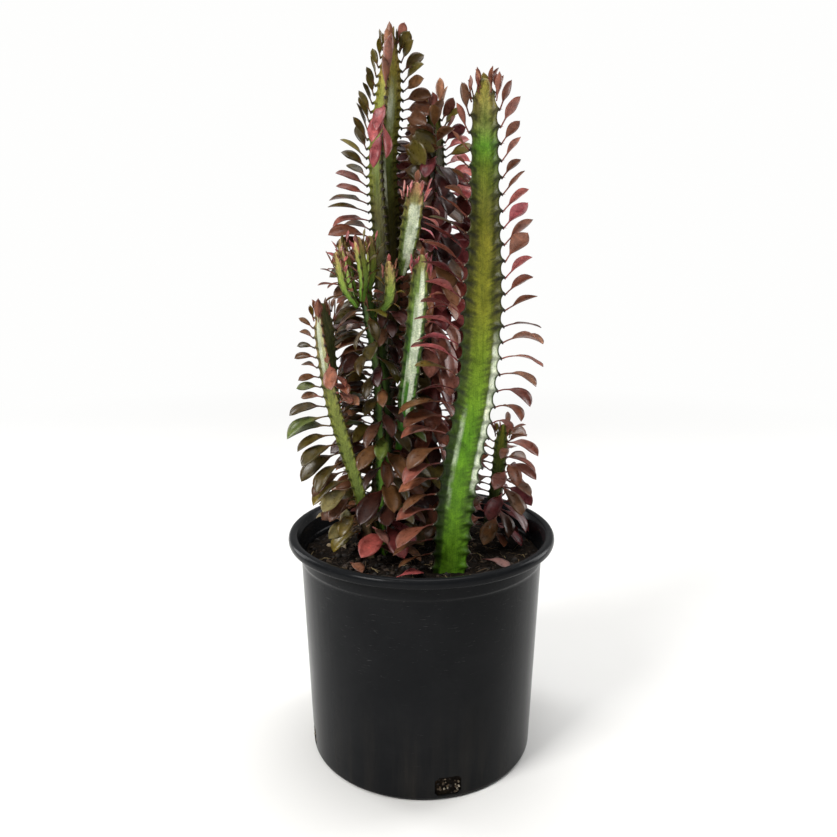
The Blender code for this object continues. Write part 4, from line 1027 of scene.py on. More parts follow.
def fine_stem(stem):
    """Fine copy of a stem: scalloped wings, deep hollows, painted skin."""
    spec = dict(stem.spec)
    n = stem.count * SUB
    fine = Stem.__new__(Stem)
    fine.name, fine.spec, fine.count = stem.name, spec, n
    fine.points, fine.length = smooth_axis(spec["axis"], n)
    fine.frames = []
    plump = 1.14 if stem.name in SHOOTS else 1.0
    for k in range(n + 1):
        a, b = max(k - 3, 0), min(k + 3, n)
        along = (fine.points[b] - fine.points[a]).normalized()
        e1 = Vector((1, 0, 0))
        e1 = (e1 - along * e1.dot(along)).normalized()
        t = k / n
        fine.frames.append((fine.points[k], along, e1, along.cross(e1),
                            keyed(spec["radius"], t)[0] * MM * plump,
                            math.radians(keyed(spec["turn"], t)[0])))
    keys = SKIN.get(stem.name, SKIN["shoot"])
    rng = random.Random(spec["seed"])
    drift = [rng.uniform(0, 100) for _ in range(3)]
    verts, faces, colours = [], [], []
    scars = stem.name != "stump"
    patches = PATCHES.get(stem.name, [])
    pitch = fine.length / n * 1000

    def add_ring(k, shift, shrink=1.0):
        point, along, e1, e2, radius, turn = fine.frames[k]
        t = k / n
        hollow_c, flank_c, edge_c = skin_row(keys, t)
        for i in range(3):
            d = node_distance(k, i)
            depth = min(0.0036, 0.21 * radius) if scars else 0.0004
            if d < 0.06:
                dip = 0.10 * (d / 0.06) ** 2
            else:
                u = (d - 0.06) / 0.44
                dip = 0.10 + 0.90 * math.sqrt(max(0.0, 1 - (1 - u) ** 2)) ** 1.1
            crest = radius - depth * dip + 0.012 * radius * noise.noise(Vector((drift[i], k * 0.08, i)))
            near = 1.0 - step01(0.05, 0.32, d)
            edge = 0.00032 + 0.026 * radius + 0.00035 * near
            a = turn + math.radians(120) * i
            out = e1 * math.cos(a) + e2 * math.sin(a)
            side = e2 * math.cos(a) - e1 * math.sin(a)
            lip = (crest - 1.4 * edge, 1.2 * edge)
            root = (0.47 * radius, 0.150 * radius)
            valley = (0.180 * radius, 0.312 * radius)
            profile = [(crest, 0.0, 0.0), (crest - 0.35 * edge, 0.8 * edge, 0.05), (*lip, 0.12)]
            swell = 0.0007 * near * min(1.0, radius / 0.014)
            for u, lateral in ((0.22, 0.22), (0.45, 0.34), (0.70, 0.46)):
                x = lip[0] + (root[0] - lip[0]) * u
                y = lip[1] + (root[1] - lip[1]) * u - 0.030 * radius * math.sin(math.pi * u)
                profile.append((x, y + swell * (1 - u), lateral))
            profile.append((root[0] + 0.03 * radius, root[1] - 0.004 * radius, 0.56))
            profile.append((root[0] - 0.03 * radius, root[1] + 0.028 * radius, 0.63))
            for u, lateral in ((0.45, 0.78), (0.75, 0.90)):
                bulge = -0.010 * radius * math.sin(math.pi * u)
                profile.append((root[0] + (valley[0] - root[0]) * u + bulge,
                                root[1] + (valley[1] - root[1]) * u + bulge, lateral))
            row = [(x, -y, lateral, -1) for x, y, lateral in reversed(profile[1:])]
            row += [(x, y, lateral, 1) for x, y, lateral in profile]
            row.append((valley[0], valley[1], 1.0, 1))
            for x, y, lateral, sign in row:
                verts.append(point + along * shift + out * (x * shrink) + side * (y * shrink))
                run = k * pitch
                streak = noise.noise(Vector((run / 1.7 + lateral * 4.5, lateral * 2.2, drift[i] + sign)))
                broad = noise.noise(Vector((run / 9.0, lateral * 3.0, drift[i] * 2 + sign)))
                c = mix(edge_c, flank_c, step01(0.06, 0.24, lateral + 0.05 * streak))
                c = mix(c, hollow_c, step01(0.44, 0.80, lateral + 0.16 * streak))
                if scars:
                    wet = 1 + (0.55 * streak + 0.25 * broad) * (1 - 0.55 * step01(0.5, 0.9, lateral))
                    mark = chevron(k, i, lateral + 0.06 * streak)
                    c = tuple(v * wet * (1 - 0.70 * mark) for v in c)
                    # the patches paint highlights (glare), shade and a few green tints over the flanks
                    for patch in patches:
                        if patch[0] == i and patch[1] == sign:
                            amount = patch_amount(patch, t, lateral, streak + broad)
                            c = mix(c, patch[7], amount * (1 - 0.50 * mark) * clamp(0.88 + 0.5 * broad, 0, 1))
                    dark = (1 - step01(0.02, 0.09, lateral)) * (0.70 + 0.30 * near)
                    c = mix(c, EDGE, 0.85 * dark)
                    scar = (1 - step01(0.02, 0.09, d)) * (1 - step01(0.04, 0.16, lateral))
                    c = mix(c, (0.010, 0.007, 0.005), scar)
                colours.append(tuple(max(0.0, v) for v in c))

    order = []
    if stem.name in STANDING:
        order.append((0, -SINK, 1.0))
    else:
        order += [(0, -0.0055, 0.75), (0, -0.0025, 0.9)]
    order += [(k, 0.0, 1.0) for k in range(n + 1)]
    tip = fine.frames[n][4]
    order += [(n, tip * 0.28, 0.86), (n, tip * 0.50, 0.62), (n, tip * 0.64, 0.34)]
    for k, shift, shrink in order:
        add_ring(k, shift, shrink)
    ring = len(verts) // len(order)
    for r in range(len(order) - 1):
        for j in range(ring):
            a, b = r * ring + j, r * ring + (j + 1) % ring
            faces.append((a, b, b + ring, a + ring))
    faces.append(tuple(range(ring - 1, -1, -1)))
    top = len(verts)
    point, along = fine.frames[n][0], fine.frames[n][1]
    verts.append(point + along * tip * 0.70)
    colours.append(skin_row(keys, 1.0)[0])
    last = (len(order) - 1) * ring
    for j in range(ring):
        faces.append((last + j, last + (j + 1) % ring, top))
    return fine, verts, faces, colours


def cone(verts, faces, base, tip, radius, sides=5):
    axis = (tip - base).normalized()
    a = axis.orthogonal().normalized()
    b = axis.cross(a)
    start = len(verts)
    mid = base.lerp(tip, 0.45)
    for centre, r in ((base, radius), (mid, radius * 0.55)):
        for s in range(sides):
            ang = 2 * math.pi * s / sides
            verts.append(centre + (a * math.cos(ang) + b * math.sin(ang)) * r)
    verts.append(tip)
    for s in range(sides):
        t = (s + 1) % sides
        faces.append((start + s, start + t, start + sides + t, start + sides + s))
        faces.append((start + sides + s, start + sides + t, start + 2 * sides))
    faces.append(tuple(start + s for s in range(sides - 1, -1, -1)))


# wings whose thorns are painted pale, as painted glints on the lit side
GLINTING_THORNS = (("right", 2), ("branch_centre", 0), ("branch_upper", 0))


def spines(stem, fine, verts, faces, colours):
    """The pair of small thorns and their horny seat at each leaf node."""
    rng = random.Random(stem.spec["seed"] * 7 + 1)
    for i in range(3):
        for k in range(0, stem.count):
            j = round((k + SEAT_AT[i]) * SUB)
            if j < 3 or j > fine.count - 2:
                continue
            point, out, side, along, radius = fine.wing(j, i)
            size = clamp(radius / 0.012, 0.45, 1.15)
            seat = point + out * (radius - 0.0009)
            start = len(verts)
            cone(verts, faces, seat - along * 0.0012 * size, seat + out * 0.0013 * size
                 + along * 0.0004, 0.0009 * size, 6)
            colours += [(0.020, 0.011, 0.008)] * (len(verts) - start)
            start = len(verts)
            for sign in (-1, 1):
                reach = rng.uniform(0.0014, 0.0024) * size
                aim = (out * 0.85 + side * sign * rng.uniform(0.5, 0.8)
                       - along * rng.uniform(0.0, 0.35)).normalized()
                cone(verts, faces, seat + side * sign * 0.0004, seat + aim * (reach + 0.0009),
                     0.00040 * size)
            # the pale thorn colour is a painted glint
            glinting = (stem.name, i) in GLINTING_THORNS and rng.random() < 0.75
            shade = (0.50, 0.46, 0.34) if glinting else (0.045, 0.024, 0.016)
            colours += [shade] * (len(verts) - start)


# ------------------------------------------------------------------ leaves
BLADE = [(0.0, 0.100), (0.12, 0.070), (0.20, 0.085), (0.28, 0.26), (0.38, 0.55), (0.48, 0.80),
         (0.58, 0.95), (0.67, 1.0), (0.77, 0.94), (0.86, 0.76), (0.93, 0.50), (0.98, 0.22), (1.0, 0.08)]
SHORT = [(0.0, 0.100), (0.06, 0.080), (0.12, 0.14), (0.22, 0.42), (0.34, 0.70), (0.46, 0.88),
         (0.58, 0.98), (0.68, 1.0), (0.79, 0.92), (0.88, 0.71), (0.94, 0.46), (0.98, 0.21), (1.0, 0.08)]
SHORT_STALKED = ("tall", "middle", "left", "centre", "rear")
ACROSS = (-1.0, -0.55, 0.0, 0.55, 1.0)

MAROON = (0.028, 0.008, 0.006)
WINE = (0.090, 0.018, 0.018)
BRICK = (0.150, 0.050, 0.030)
RUSSET = (0.230, 0.095, 0.060)
ROSE = (0.330, 0.085, 0.085)
PINK = (0.480, 0.185, 0.180)
UMBER = (0.085, 0.036, 0.015)
OLIVE_LEAF = (0.100, 0.074, 0.011)
DARK_OLIVE = (0.044, 0.031, 0.006)
GREEN_LEAF = (0.075, 0.100, 0.018)
SAND = (0.330, 0.170, 0.085)
GREY_LEAF = (0.165, 0.140, 0.050)
DULL_PINK = (0.200, 0.090, 0.075)

# Leaf colours of a stem or of one of its wings:
# (place along the stem, [(weight, upper side, under side)...])
PALETTE = {
    ("right", 0): [(0.0, [(3, BRICK, RUSSET), (2, UMBER, BRICK), (1, WINE, ROSE)]),
                   (0.35, [(3, BRICK, RUSSET), (2, UMBER, BRICK), (1, WINE, ROSE)]),
                   (0.5, [(2, BRICK, RUSSET), (2, UMBER, BRICK), (1, RUSSET, DULL_PINK)]),
                   (0.66, [(2, ROSE, RUSSET), (2, DULL_PINK, ROSE), (1, WINE, ROSE)]),
                   (0.85, [(2, UMBER, BRICK), (2, BRICK, RUSSET)]),
                   (0.95, [(2, RUSSET, BRICK), (1, UMBER, RUSSET)]), (1.0, [(2, RUSSET, BRICK), (1, OLIVE_LEAF, RUSSET)])],
    "right": [(0.0, [(3, BRICK, DULL_PINK), (2, UMBER, BRICK), (1, WINE, ROSE)]),
              (0.33, [(2, OLIVE_LEAF, BRICK), (2, UMBER, BRICK), (2, BRICK, DULL_PINK)]),
              (0.5, [(2, WINE, ROSE), (1, MAROON, WINE)]),
              (0.7, [(2, UMBER, BRICK), (2, MAROON, WINE), (1, DARK_OLIVE, UMBER)]),
              (0.85, [(2, DARK_OLIVE, UMBER), (2, UMBER, BRICK)]),
              (1.0, [(1, RUSSET, BRICK), (2, OLIVE_LEAF, RUSSET)])],
    ("tall", 0): [(0.0, [(2, UMBER, DARK_OLIVE)]), (0.5, [(2, MAROON, BRICK), (1, UMBER, BRICK)]),
                  (0.66, [(2, ROSE, PINK), (1, WINE, ROSE)]), (0.76, [(2, (0.33, 0.07, 0.075), ROSE), (1, WINE, ROSE)]),
                  (0.86, [(3, (0.30, 0.07, 0.07), ROSE), (1, MAROON, WINE)]), (0.92, [(1, SAND, RUSSET), (1, RUSSET, BRICK)]),
                  (1.0, [(1, SAND, RUSSET)])],
    ("tall", 1): [(0.0, [(2, UMBER, DARK_OLIVE), (1, MAROON, BRICK)]),
                  (0.55, [(3, DARK_OLIVE, GREY_LEAF), (1, MAROON, UMBER)]),
                  (0.7, [(2, DARK_OLIVE, (0.10, 0.080, 0.030)), (2, UMBER, (0.070, 0.055, 0.012))]),
                  (0.85, [(2, UMBER, (0.075, 0.058, 0.012)), (1, (0.080, 0.060, 0.012), BRICK)]),
                  (1.0, [(2, OLIVE_LEAF, DARK_OLIVE), (1, RUSSET, BRICK)])],
    ("tall", 2): [(0.0, [(2, UMBER, DARK_OLIVE), (1, MAROON, BRICK)]),
                  (0.55, [(3, UMBER, (0.11, 0.05, 0.028)), (1, BRICK, RUSSET), (3, DARK_OLIVE, OLIVE_LEAF)]),
                  (0.7, [(3, DARK_OLIVE, UMBER), (2, UMBER, OLIVE_LEAF), (1, BRICK, BRICK)]),
                  (0.85, [(3, DARK_OLIVE, OLIVE_LEAF), (1, OLIVE_LEAF, UMBER)]),
                  (1.0, [(3, OLIVE_LEAF, DARK_OLIVE), (1, UMBER, RUSSET)])],
    ("middle", 1): [(0.0, [(2, MAROON, WINE), (1, UMBER, BRICK)]), (0.4, [(2, (0.14, 0.030, 0.028), ROSE), (1, MAROON, WINE), (1, BRICK, RUSSET)]),
                    (0.6, [(3, ROSE, PINK), (1, WINE, ROSE)]), (0.85, [(2, ROSE, PINK), (1, WINE, ROSE)]),
                    (0.92, [(1, BRICK, RUSSET), (1, OLIVE_LEAF, UMBER)]), (1.0, [(1, SAND, RUSSET)])],
    "middle": [(0.0, [(2, MAROON, UMBER), (1, UMBER, OLIVE_LEAF)]),
               (0.2, [(2, UMBER, OLIVE_LEAF), (1, MAROON, UMBER), (2, (0.080, 0.062, 0.014), GREY_LEAF), (1, BRICK, UMBER)]),
               (0.35, [(2, WINE, ROSE), (3, BRICK, RUSSET), (1, MAROON, WINE)]),
               (0.55, [(3, (0.24, 0.092, 0.055), (0.28, 0.12, 0.08)), (1, WINE, ROSE), (3, RUSSET, DULL_PINK)]),
               (0.75, [(3, MAROON, WINE), (1, WINE, ROSE), (2, UMBER, MAROON)]),
               (0.9, [(3, MAROON, UMBER), (1, WINE, BRICK)]),
               (0.96, [(1, RUSSET, BRICK), (1, OLIVE_LEAF, UMBER)]), (1.0, [(1, SAND, RUSSET)])],
    ("left", 0): [(0.0, [(2, DULL_PINK, PINK), (1, BRICK, ROSE)]), (0.5, [(1, BRICK, ROSE)]),
                  (0.75, [(2, BRICK, ROSE), (1, RUSSET, ROSE)]), (1.0, [(1, SAND, BRICK)])],
    "left": [(0.0, [(2, UMBER, OLIVE_LEAF), (1, BRICK, RUSSET)]),
             (0.25, [(3, OLIVE_LEAF, GREY_LEAF), (2, UMBER, GREY_LEAF), (1, GREY_LEAF, GREY_LEAF)]),
             (0.55, [(3, DARK_OLIVE, OLIVE_LEAF), (2, UMBER, BRICK), (1, GREEN_LEAF, OLIVE_LEAF)]),
             (0.85, [(2, UMBER, BRICK), (1, DARK_OLIVE, OLIVE_LEAF)]), (1.0, [(1, OLIVE_LEAF, BRICK), (1, UMBER, RUSSET)])],
    "centre": [(0.0, [(3, (0.150, 0.060, 0.040), (0.17, 0.080, 0.055)), (1, (0.20, 0.042, 0.042), ROSE),
                      (1, (0.14, 0.075, 0.065), DULL_PINK), (1, UMBER, GREY_LEAF)]),
               (0.2, [(3, UMBER, BRICK), (1, WINE, BRICK), (2, (0.065, 0.050, 0.016), (0.10, 0.085, 0.035)),
                      (1, MAROON, BRICK)]),
               (0.45, [(3, DARK_OLIVE, UMBER), (2, UMBER, OLIVE_LEAF), (2, GREEN_LEAF, OLIVE_LEAF), (1, MAROON, UMBER)]),
               (0.8, [(2, MAROON, UMBER), (3, DARK_OLIVE, OLIVE_LEAF), (1, UMBER, BRICK)]),
               (1.0, [(3, DARK_OLIVE, UMBER), (1, OLIVE_LEAF, OLIVE_LEAF), (1, MAROON, BRICK)])],
    "rear": [(0.0, [(2, WINE, DULL_PINK), (2, BRICK, DULL_PINK)]), (0.4, [(2, UMBER, BRICK), (2, WINE, BRICK)]),
             (0.8, [(2, UMBER, OLIVE_LEAF), (2, BRICK, RUSSET)]), (1.0, [(1, BRICK, RUSSET), (1, UMBER, OLIVE_LEAF)])],
    "branch_upper": [(0.0, [(1, BRICK, ROSE)]), (1.0, [(1, ROSE, PINK), (1, RUSSET, PINK)])],
    "branch_centre": [(0.0, [(2, UMBER, BRICK)]), (0.8, [(2, WINE, BRICK)]), (1.0, [(1, BRICK, ROSE)])],
    "stump": [(0.0, [(1, OLIVE_LEAF, GREY_LEAF)]), (1.0, [(2, GREY_LEAF, (0.16, 0.125, 0.065)), (1, UMBER, UMBER)])],
    "shoot": [(0.0, [(2, UMBER, OLIVE_LEAF), (1, BRICK, RUSSET), (1, DARK_OLIVE, OLIVE_LEAF)]),
              (1.0, [(1, RUSSET, BRICK), (1, ROSE, RUSSET), (1, OLIVE_LEAF, OLIVE_LEAF)])],
}


def leaf_colours(name, wing, t, rng):
    keys = PALETTE.get((name, wing)) or PALETTE.get(name) or PALETTE["shoot"]
    at = t + rng.uniform(-0.05, 0.05)
    best = min(keys, key=lambda row: abs(row[0] - at))
    pick = rng.uniform(0, sum(row[0] for row in best[1]))
    for weight, upper, under in best[1]:
        pick -= weight
        if pick <= 0:
            break
    shade = rng.uniform(0.70, 1.35) * (1.28 - 0.28 * step01(0.15, 0.30, t))
    warm = rng.uniform(-0.1, 0.1)
    vary = lambda c: (c[0] * shade, c[1] * shade * (1 + warm), c[2] * shade * (1 - warm))
    return vary(upper), vary(under)


def blade_width(s, blade):
    for a, b in zip(blade, blade[1:]):
        if s <= b[0]:
            f = (s - a[0]) / (b[0] - a[0])
            return a[1] + (b[1] - a[1]) * f
    return blade[-1][1]


def add_leaf(verts, faces, colours, rows, width, upper, under, rng, fold=0.28, shape=BLADE):
    """One closed blade on its midrib path: stalk, folded blade, small point."""
    start, n = len(verts), len(rows) - 1
    fold *= rng.uniform(0.3, 1.5)
    wave, phase = rng.uniform(0.0, 0.14), rng.uniform(0, 6)
    cup = rng.uniform(-0.05, 0.18)
    stations = (0.0, 0.09, 0.17, 0.23, 0.29, 0.36, 0.44, 0.52, 0.60, 0.68, 0.76, 0.84, 0.91, 0.96, 1.0)
    half_full = width / 2
    for s in stations:
        f = s * n
        a = min(int(f), n - 1)
        f -= a
        p = rows[a][0].lerp(rows[a + 1][0], f)
        wide = rows[a][2].lerp(rows[a + 1][2], f).normalized()
        face = rows[a][3].lerp(rows[a + 1][3], f).normalized()
        g = blade_width(s, shape)
        h = max(half_full * g, 0.00042)
        blade = step01(0.18, 0.38, s)
        rib = 0.00052 * (1 - 0.55 * s)
        edge = 0.00040 * (1 - blade) + 0.00016 * blade
        top, low = [], []
        for u in ACROSS:
            lift = blade * (fold * abs(u) * h + cup * h * (u * u)
                            + wave * h * abs(u) * math.sin(9 * s + phase + (2 if u > 0 else 0)))
            thick = rib + (edge - rib) * abs(u)
            x = u * h * (0.75 if blade < 0.01 and abs(u) == 1 else 1)
            top.append(p + wide * x + face * (lift + thick * (0.15 if abs(u) == 1 else 1)))
            low.append(p + wide * x + face * (lift - thick * (0.15 if abs(u) == 1 else 1.25)))
        verts.extend(top + low[::-1])
        rim = 0.82 - 0.18 * step01(0.8, 1.0, s)
        stalk = 1 - step01(0.12, 0.38, s)
        for side_c, flip in ((upper, False), (under, True)):
            for u in ACROSS:
                c = mix(side_c, tuple(0.5 * v + w for v, w in zip(under, (0.10, 0.012, 0.014))), 0.55 * stalk)
                mid = 1 - clamp(abs(u) / 0.4)
                c = tuple(v * (1 + 0.22 * mid * blade) for v in c)
                if abs(u) == 1:
                    c = tuple(v * rim for v in c)
                colours.append(c)
    m = 2 * len(ACROSS)
    for r in range(len(stations) - 1):
        for j in range(m):
            a, b = start + r * m + j, start + r * m + (j + 1) % m
            faces.append((a, a + m, b + m, b))
    faces.append(tuple(start + j for j in range(m)))
    end = start + (len(stations) - 1) * m
    tip = len(verts)
    verts.append(rows[-1][0] + rows[-1][1] * 0.0006 + rows[-1][3] * 0.0001)
    colours.append(tuple(v * 0.5 for v in upper))
    for j in range(m):
        faces.append((end + j, tip, end + (j + 1) % m))


# Ranks whose blades open further towards the front: (more roll in degrees, width)
OPEN_OUT = {("tall", 1): (28, 1.30), ("tall", 2): (-12, 0.86), ("middle", 1): (15, 1.12),
            ("middle", 2): (-22, 1.25), ("middle", 0): (0, 1.10), ("tall", 0): (0, 0.74)}


def rolled(rows, degrees):
    """The same midrib path with its blade rolled further, from the stalk on."""
    if not degrees:
        return rows
    n, out = len(rows) - 1, []
    for s, (point, run, wide, face) in enumerate(rows):
        turn = Matrix.Rotation(math.radians(degrees) * step01(0.0, 0.35, s / n), 3, run)
        out.append((point, run, turn @ wide, turn @ face))
    return out


def tuft(stem, fine, verts, faces, colours):
    """Small erect leaves crowded round the growing tip."""
    if stem.name == "stump":
        return
    rng = random.Random(stem.spec["seed"] * 13 + 5)
    big = clamp(fine.frames[-SUB * 2][4] / 0.010, 0.45, 1.25)
    if stem.name.startswith(("branch", "shoot")):
        big *= 0.72
    for q in range(12):
        wing = q % 3
        j = fine.count - 1 - round((q // 3) * SUB * 0.30 + rng.uniform(0, 2))
        point, out, side, along, radius = fine.wing(j, wing)
        base = point + out * radius * (0.50 + 0.15 * (q // 3)) + side * radius * rng.uniform(-0.25, 0.25)
        length = rng.uniform(0.0075, 0.0125) * big * (1 + 0.12 * (q // 3))
        rows = leaf_path(base - along * 0.001, out, side, along, length,
                         math.radians(rng.uniform(66, 88)), math.radians(rng.uniform(-25, 20)),
                         math.radians(rng.uniform(-35, 35)), math.radians(rng.uniform(-30, 30)))
        upper, under = leaf_colours(stem.name, wing, 1.0, rng)
        add_leaf(verts, faces, colours, rows, length * rng.uniform(0.26, 0.38), upper, under, rng, 0.5)


def node_names(stem):
    plain = stem.name.startswith(("branch", "shoot", "stump"))
    kind = stem.name if plain else "stem_" + stem.name
    return kind, kind + "_leaves"


STEM_LIST = [Stem(name, spec) for name, spec in STEMS.items()]
PLAN = plan_leaves(STEM_LIST, all_solids(STEM_LIST))

for stem in STEM_LIST:
    solid, leaf_node = node_names(stem)
    fine, v, f, c = fine_stem(stem)
    look = (MAT_WOOD if stem.name == "stump" else MAT_YOUNG if stem.name in SHOOTS
            else MAT_DULL if stem.name in DULL_STEMS else MAT_STEM)
    body = face_out(new_piece("fine_" + solid, v, f, [look], c))
    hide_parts(solid)
    v, f, c = [], [], []
    for i in range(3):
        for k in range(1, stem.count):
            entry = PLAN.get((stem.name, i, k))
            if not entry:
                continue
            rng = random.Random(stem.spec["seed"] * 917 + i * 131 + k)
            rows, width = entry
            t = (k + 0.5) / stem.count
            upper, under = leaf_colours(stem.name, i, t, rng)
            back = rows[0][1] * 0.0014
            rows = [(rows[0][0] - back, *rows[0][1:])] + list(rows[1:])
            slim = 0.90 if stem.name in ("left", "centre") else 0.94 - 0.08 * step01(0.5, 0.8, t)
            more, slim = OPEN_OUT.get((stem.name, i), (0, slim))
            if stem.name == "right" and i == 0:
                more, slim = -26 * step01(0.45, 0.6, t), 0.94 + 0.16 * step01(0.45, 0.6, t)
            add_leaf(v, f, c, rolled(rows, more), width * slim, upper, under, rng,
                     shape=SHORT if stem.name in SHORT_STALKED else BLADE)
    tuft(stem, fine, v, f, c)
    sv, sf, sc = [], [], []
    if stem.name != "stump":
        spines(stem, fine, sv, sf, sc)
    base = len(v)
    slots = [0] * len(f) + [1] * len(sf)
    v += sv
    f += [tuple(base + j for j in face) for face in sf]
    c += sc
    leaves = face_out(new_piece("fine_" + leaf_node, v, f, [MAT_LEAF, MAT_SPINE], c, slots))
    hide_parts(leaf_node)

for name, (place, heading, length) in FALLEN.items():
    rng = random.Random(len(name) * 31 + int(place[0]))
    a = math.radians(heading)
    ahead, across = Vector((math.cos(a), math.sin(a), 0)), Vector((-math.sin(a), math.cos(a), 0))
    rows = []
    for s in range(13):
        u = s / 12
        z = SOIL_LEVEL + 0.0032 + 0.0022 * math.sin(math.pi * u)
        p = Vector((place[0] * MM, place[1] * MM, z)) + ahead * (u * length * MM)
        rows.append((p, ahead, across, Vector((0, 0, 1))))
    v, f, c = [], [], []
    upper, under = leaf_colours("centre", 0, 0.0, rng)
    add_leaf(v, f, c, rows, 0.46 * length * MM, upper, under, rng, 0.15)
    leaf = face_out(new_piece("fine_" + name, v, f, [MAT_LEAF], c))
    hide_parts(name)

# -------------------------------------------------------------------- soil
SOIL_RINGS, SOIL_STEPS = 76, 260


def soil_height(x, y):
    r = math.hypot(x, y)
    z = SOIL_LEVEL - 0.0006
    z += 0.0020 * noise.noise(Vector((x * 32, y * 32, 1.3)))
    z += 0.0016 * noise.noise(Vector((x * 95, y * 95, 4.1)))
    z += 0.0012 * abs(noise.noise(Vector((x * 260, y * 260, 8.7))))
    z += 0.0006 * noise.noise(Vector((x * 700, y * 700, 2.2)))
    z -= 0.0022 * step01(0.080, 0.0985, r)
    return z


def make_fine_soil():
    verts, faces = [], []
    wall = inner_radius(SOIL_LEVEL - 0.0016) - 0.0001
    for r in range(1, SOIL_RINGS + 1):
        radius = wall * r / SOIL_RINGS
        for j in range(SOIL_STEPS):
            a = 2 * math.pi * j / SOIL_STEPS
            x, y = radius * math.cos(a), radius * math.sin(a)
            verts.append(Vector((x, y, soil_height(x, y))))
    top = len(verts)
    verts.append(Vector((0, 0, soil_height(0, 0))))
    side = []
    for z in (0.150, 0.100, 0.050, DRAIN_HIGH + 0.003, 0.016, 0.012, 0.008, DRAIN_LOW, FLOOR + 0.0004):
        side.append(len(verts))
        for j in range(SOIL_STEPS):
            a = 2 * math.pi * j / SOIL_STEPS
            rad = inner_radius(max(z, DRAIN_LOW)) - 0.0003
            if z < DRAIN_HIGH + 0.001:
                rad -= 0.0016 * abs(noise.noise(Vector((math.cos(a) * 40, math.sin(a) * 40, z * 300))))
            verts.append(Vector((rad * math.cos(a), rad * math.sin(a), z)))
    bottom = len(verts)
    verts.append(Vector((0, 0, FLOOR + 0.0004)))
    n = SOIL_STEPS
    for j in range(n):
        faces.append((top, j, (j + 1) % n))
    for r in range(SOIL_RINGS - 1):
        for j in range(n):
            a, b = r * n + j, r * n + (j + 1) % n
            faces.append((a, a + n, b + n, b))
    chain = [(SOIL_RINGS - 1) * n] + side
    for up, down in zip(chain, chain[1:]):
        for j in range(n):
            k = (j + 1) % n
            faces.append((up + j, down + j, down + k, up + k))
    for j in range(n):
        faces.append((bottom, side[-1] + (j + 1) % n, side[-1] + j))
    return verts, faces


def lump(verts, faces, colours, centre, size, rng, colour):
    """A small uneven clod."""
    start = len(verts)
    rings, steps = 5, 8
    squash = (rng.uniform(0.7, 1.3), rng.uniform(0.7, 1.3), rng.uniform(0.5, 0.9))
    seed = rng.uniform(0, 50)
    spin = rng.uniform(0, math.pi)
    cs, sn = math.cos(spin), math.sin(spin)
    for i in range(rings + 1):
        lat = math.pi * i / rings
        count = 1 if i in (0, rings) else steps
        for j in range(count):
            lon = 2 * math.pi * j / steps
            d = Vector((math.sin(lat) * math.cos(lon), math.sin(lat) * math.sin(lon), math.cos(lat)))
            r = size * (1 + 0.55 * noise.noise(d * 1.7 + Vector((seed, 0, 0))))
            q = Vector((d.x * squash[0], d.y * squash[1], d.z * squash[2])) * r
            verts.append(centre + Vector((q.x * cs - q.y * sn, q.x * sn + q.y * cs, q.z)))
            colours.append(colour)
    for j in range(steps):
        k = (j + 1) % steps
        faces.append((start, start + 1 + j, start + 1 + k))
        for i in range(rings - 2):
            a = start + 1 + i * steps
            faces.append((a + j, a + steps + j, a + steps + k, a + k))
        a = start + 1 + (rings - 2) * steps
        faces.append((a + j, a + steps, a + k))


def strand(verts, faces, colours, points, radius, colour, sides=4):
    """A thin closed rod through points: a root hair or a bit of straw."""
    start = len(verts)
    n = len(points)
    for i, p in enumerate(points):
        t = (points[min(i + 1, n - 1)] - points[max(i - 1, 0)]).normalized()
        a = t.orthogonal().normalized()
        b = t.cross(a)
        r = radius * (1 - 0.5 * abs(2 * i / (n - 1) - 1))
        for s in range(sides):
            ang = 2 * math.pi * s / sides
            verts.append(p + (a * math.cos(ang) + b * math.sin(ang)) * r)
            colours.append(colour)
    for i in range(n - 1):
        for s in range(sides):
            a, b = start + i * sides + s, start + i * sides + (s + 1) % sides
            faces.append((a, b, b + sides, a + sides))
    faces.append(tuple(start + s for s in range(sides - 1, -1, -1)))
    faces.append(tuple(start + (n - 1) * sides + s for s in range(sides)))


v, f = make_fine_soil()
soil_piece = face_out(new_piece("fine_soil", v, f, [MAT_SOIL]))
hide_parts("soil")

rng = random.Random(5)
v, f, c = [], [], []
for _ in range(1150):
    r, a = 0.0965 * math.sqrt(rng.random()), rng.uniform(0, 2 * math.pi)
    x, y = r * math.cos(a), r * math.sin(a)
    size = 0.0005 + 0.0021 * rng.random() ** 3.2
    tone = rng.random()
    colour = ((0.010, 0.007, 0.005) if tone < 0.55 else (0.030, 0.018, 0.011) if tone < 0.85
              else (0.075, 0.048, 0.026) if tone < 0.97 else (0.26, 0.20, 0.12))
    lump(v, f, c, Vector((x, y, soil_height(x, y) + size * 0.25)), size, rng, colour)
for _ in range(330):
    r, a = 0.094 * math.sqrt(rng.random()), rng.uniform(0, 2 * math.pi)
    x, y = r * math.cos(a), r * math.sin(a)
    turn, bend = rng.uniform(0, 2 * math.pi), rng.uniform(-40, 40)
    length = rng.uniform(0.004, 0.014)
    pts = []
    for s in range(6):
        heading = turn + bend * length * s / 5
        x, y = x + math.cos(heading) * length / 5, y + math.sin(heading) * length / 5
        if math.hypot(x, y) > 0.0965:
            break
        pts.append(Vector((x, y, soil_height(x, y) + 0.0008 + 0.0012 * math.sin(s * 0.6) * rng.random())))
    if len(pts) < 3:
        continue
    tone = rng.random()
    colour = (0.030, 0.018, 0.010) if tone < 0.5 else (0.11, 0.072, 0.036) if tone < 0.8 else (0.34, 0.26, 0.13)
    strand(v, f, c, pts, rng.uniform(0.00018, 0.00045), colour)
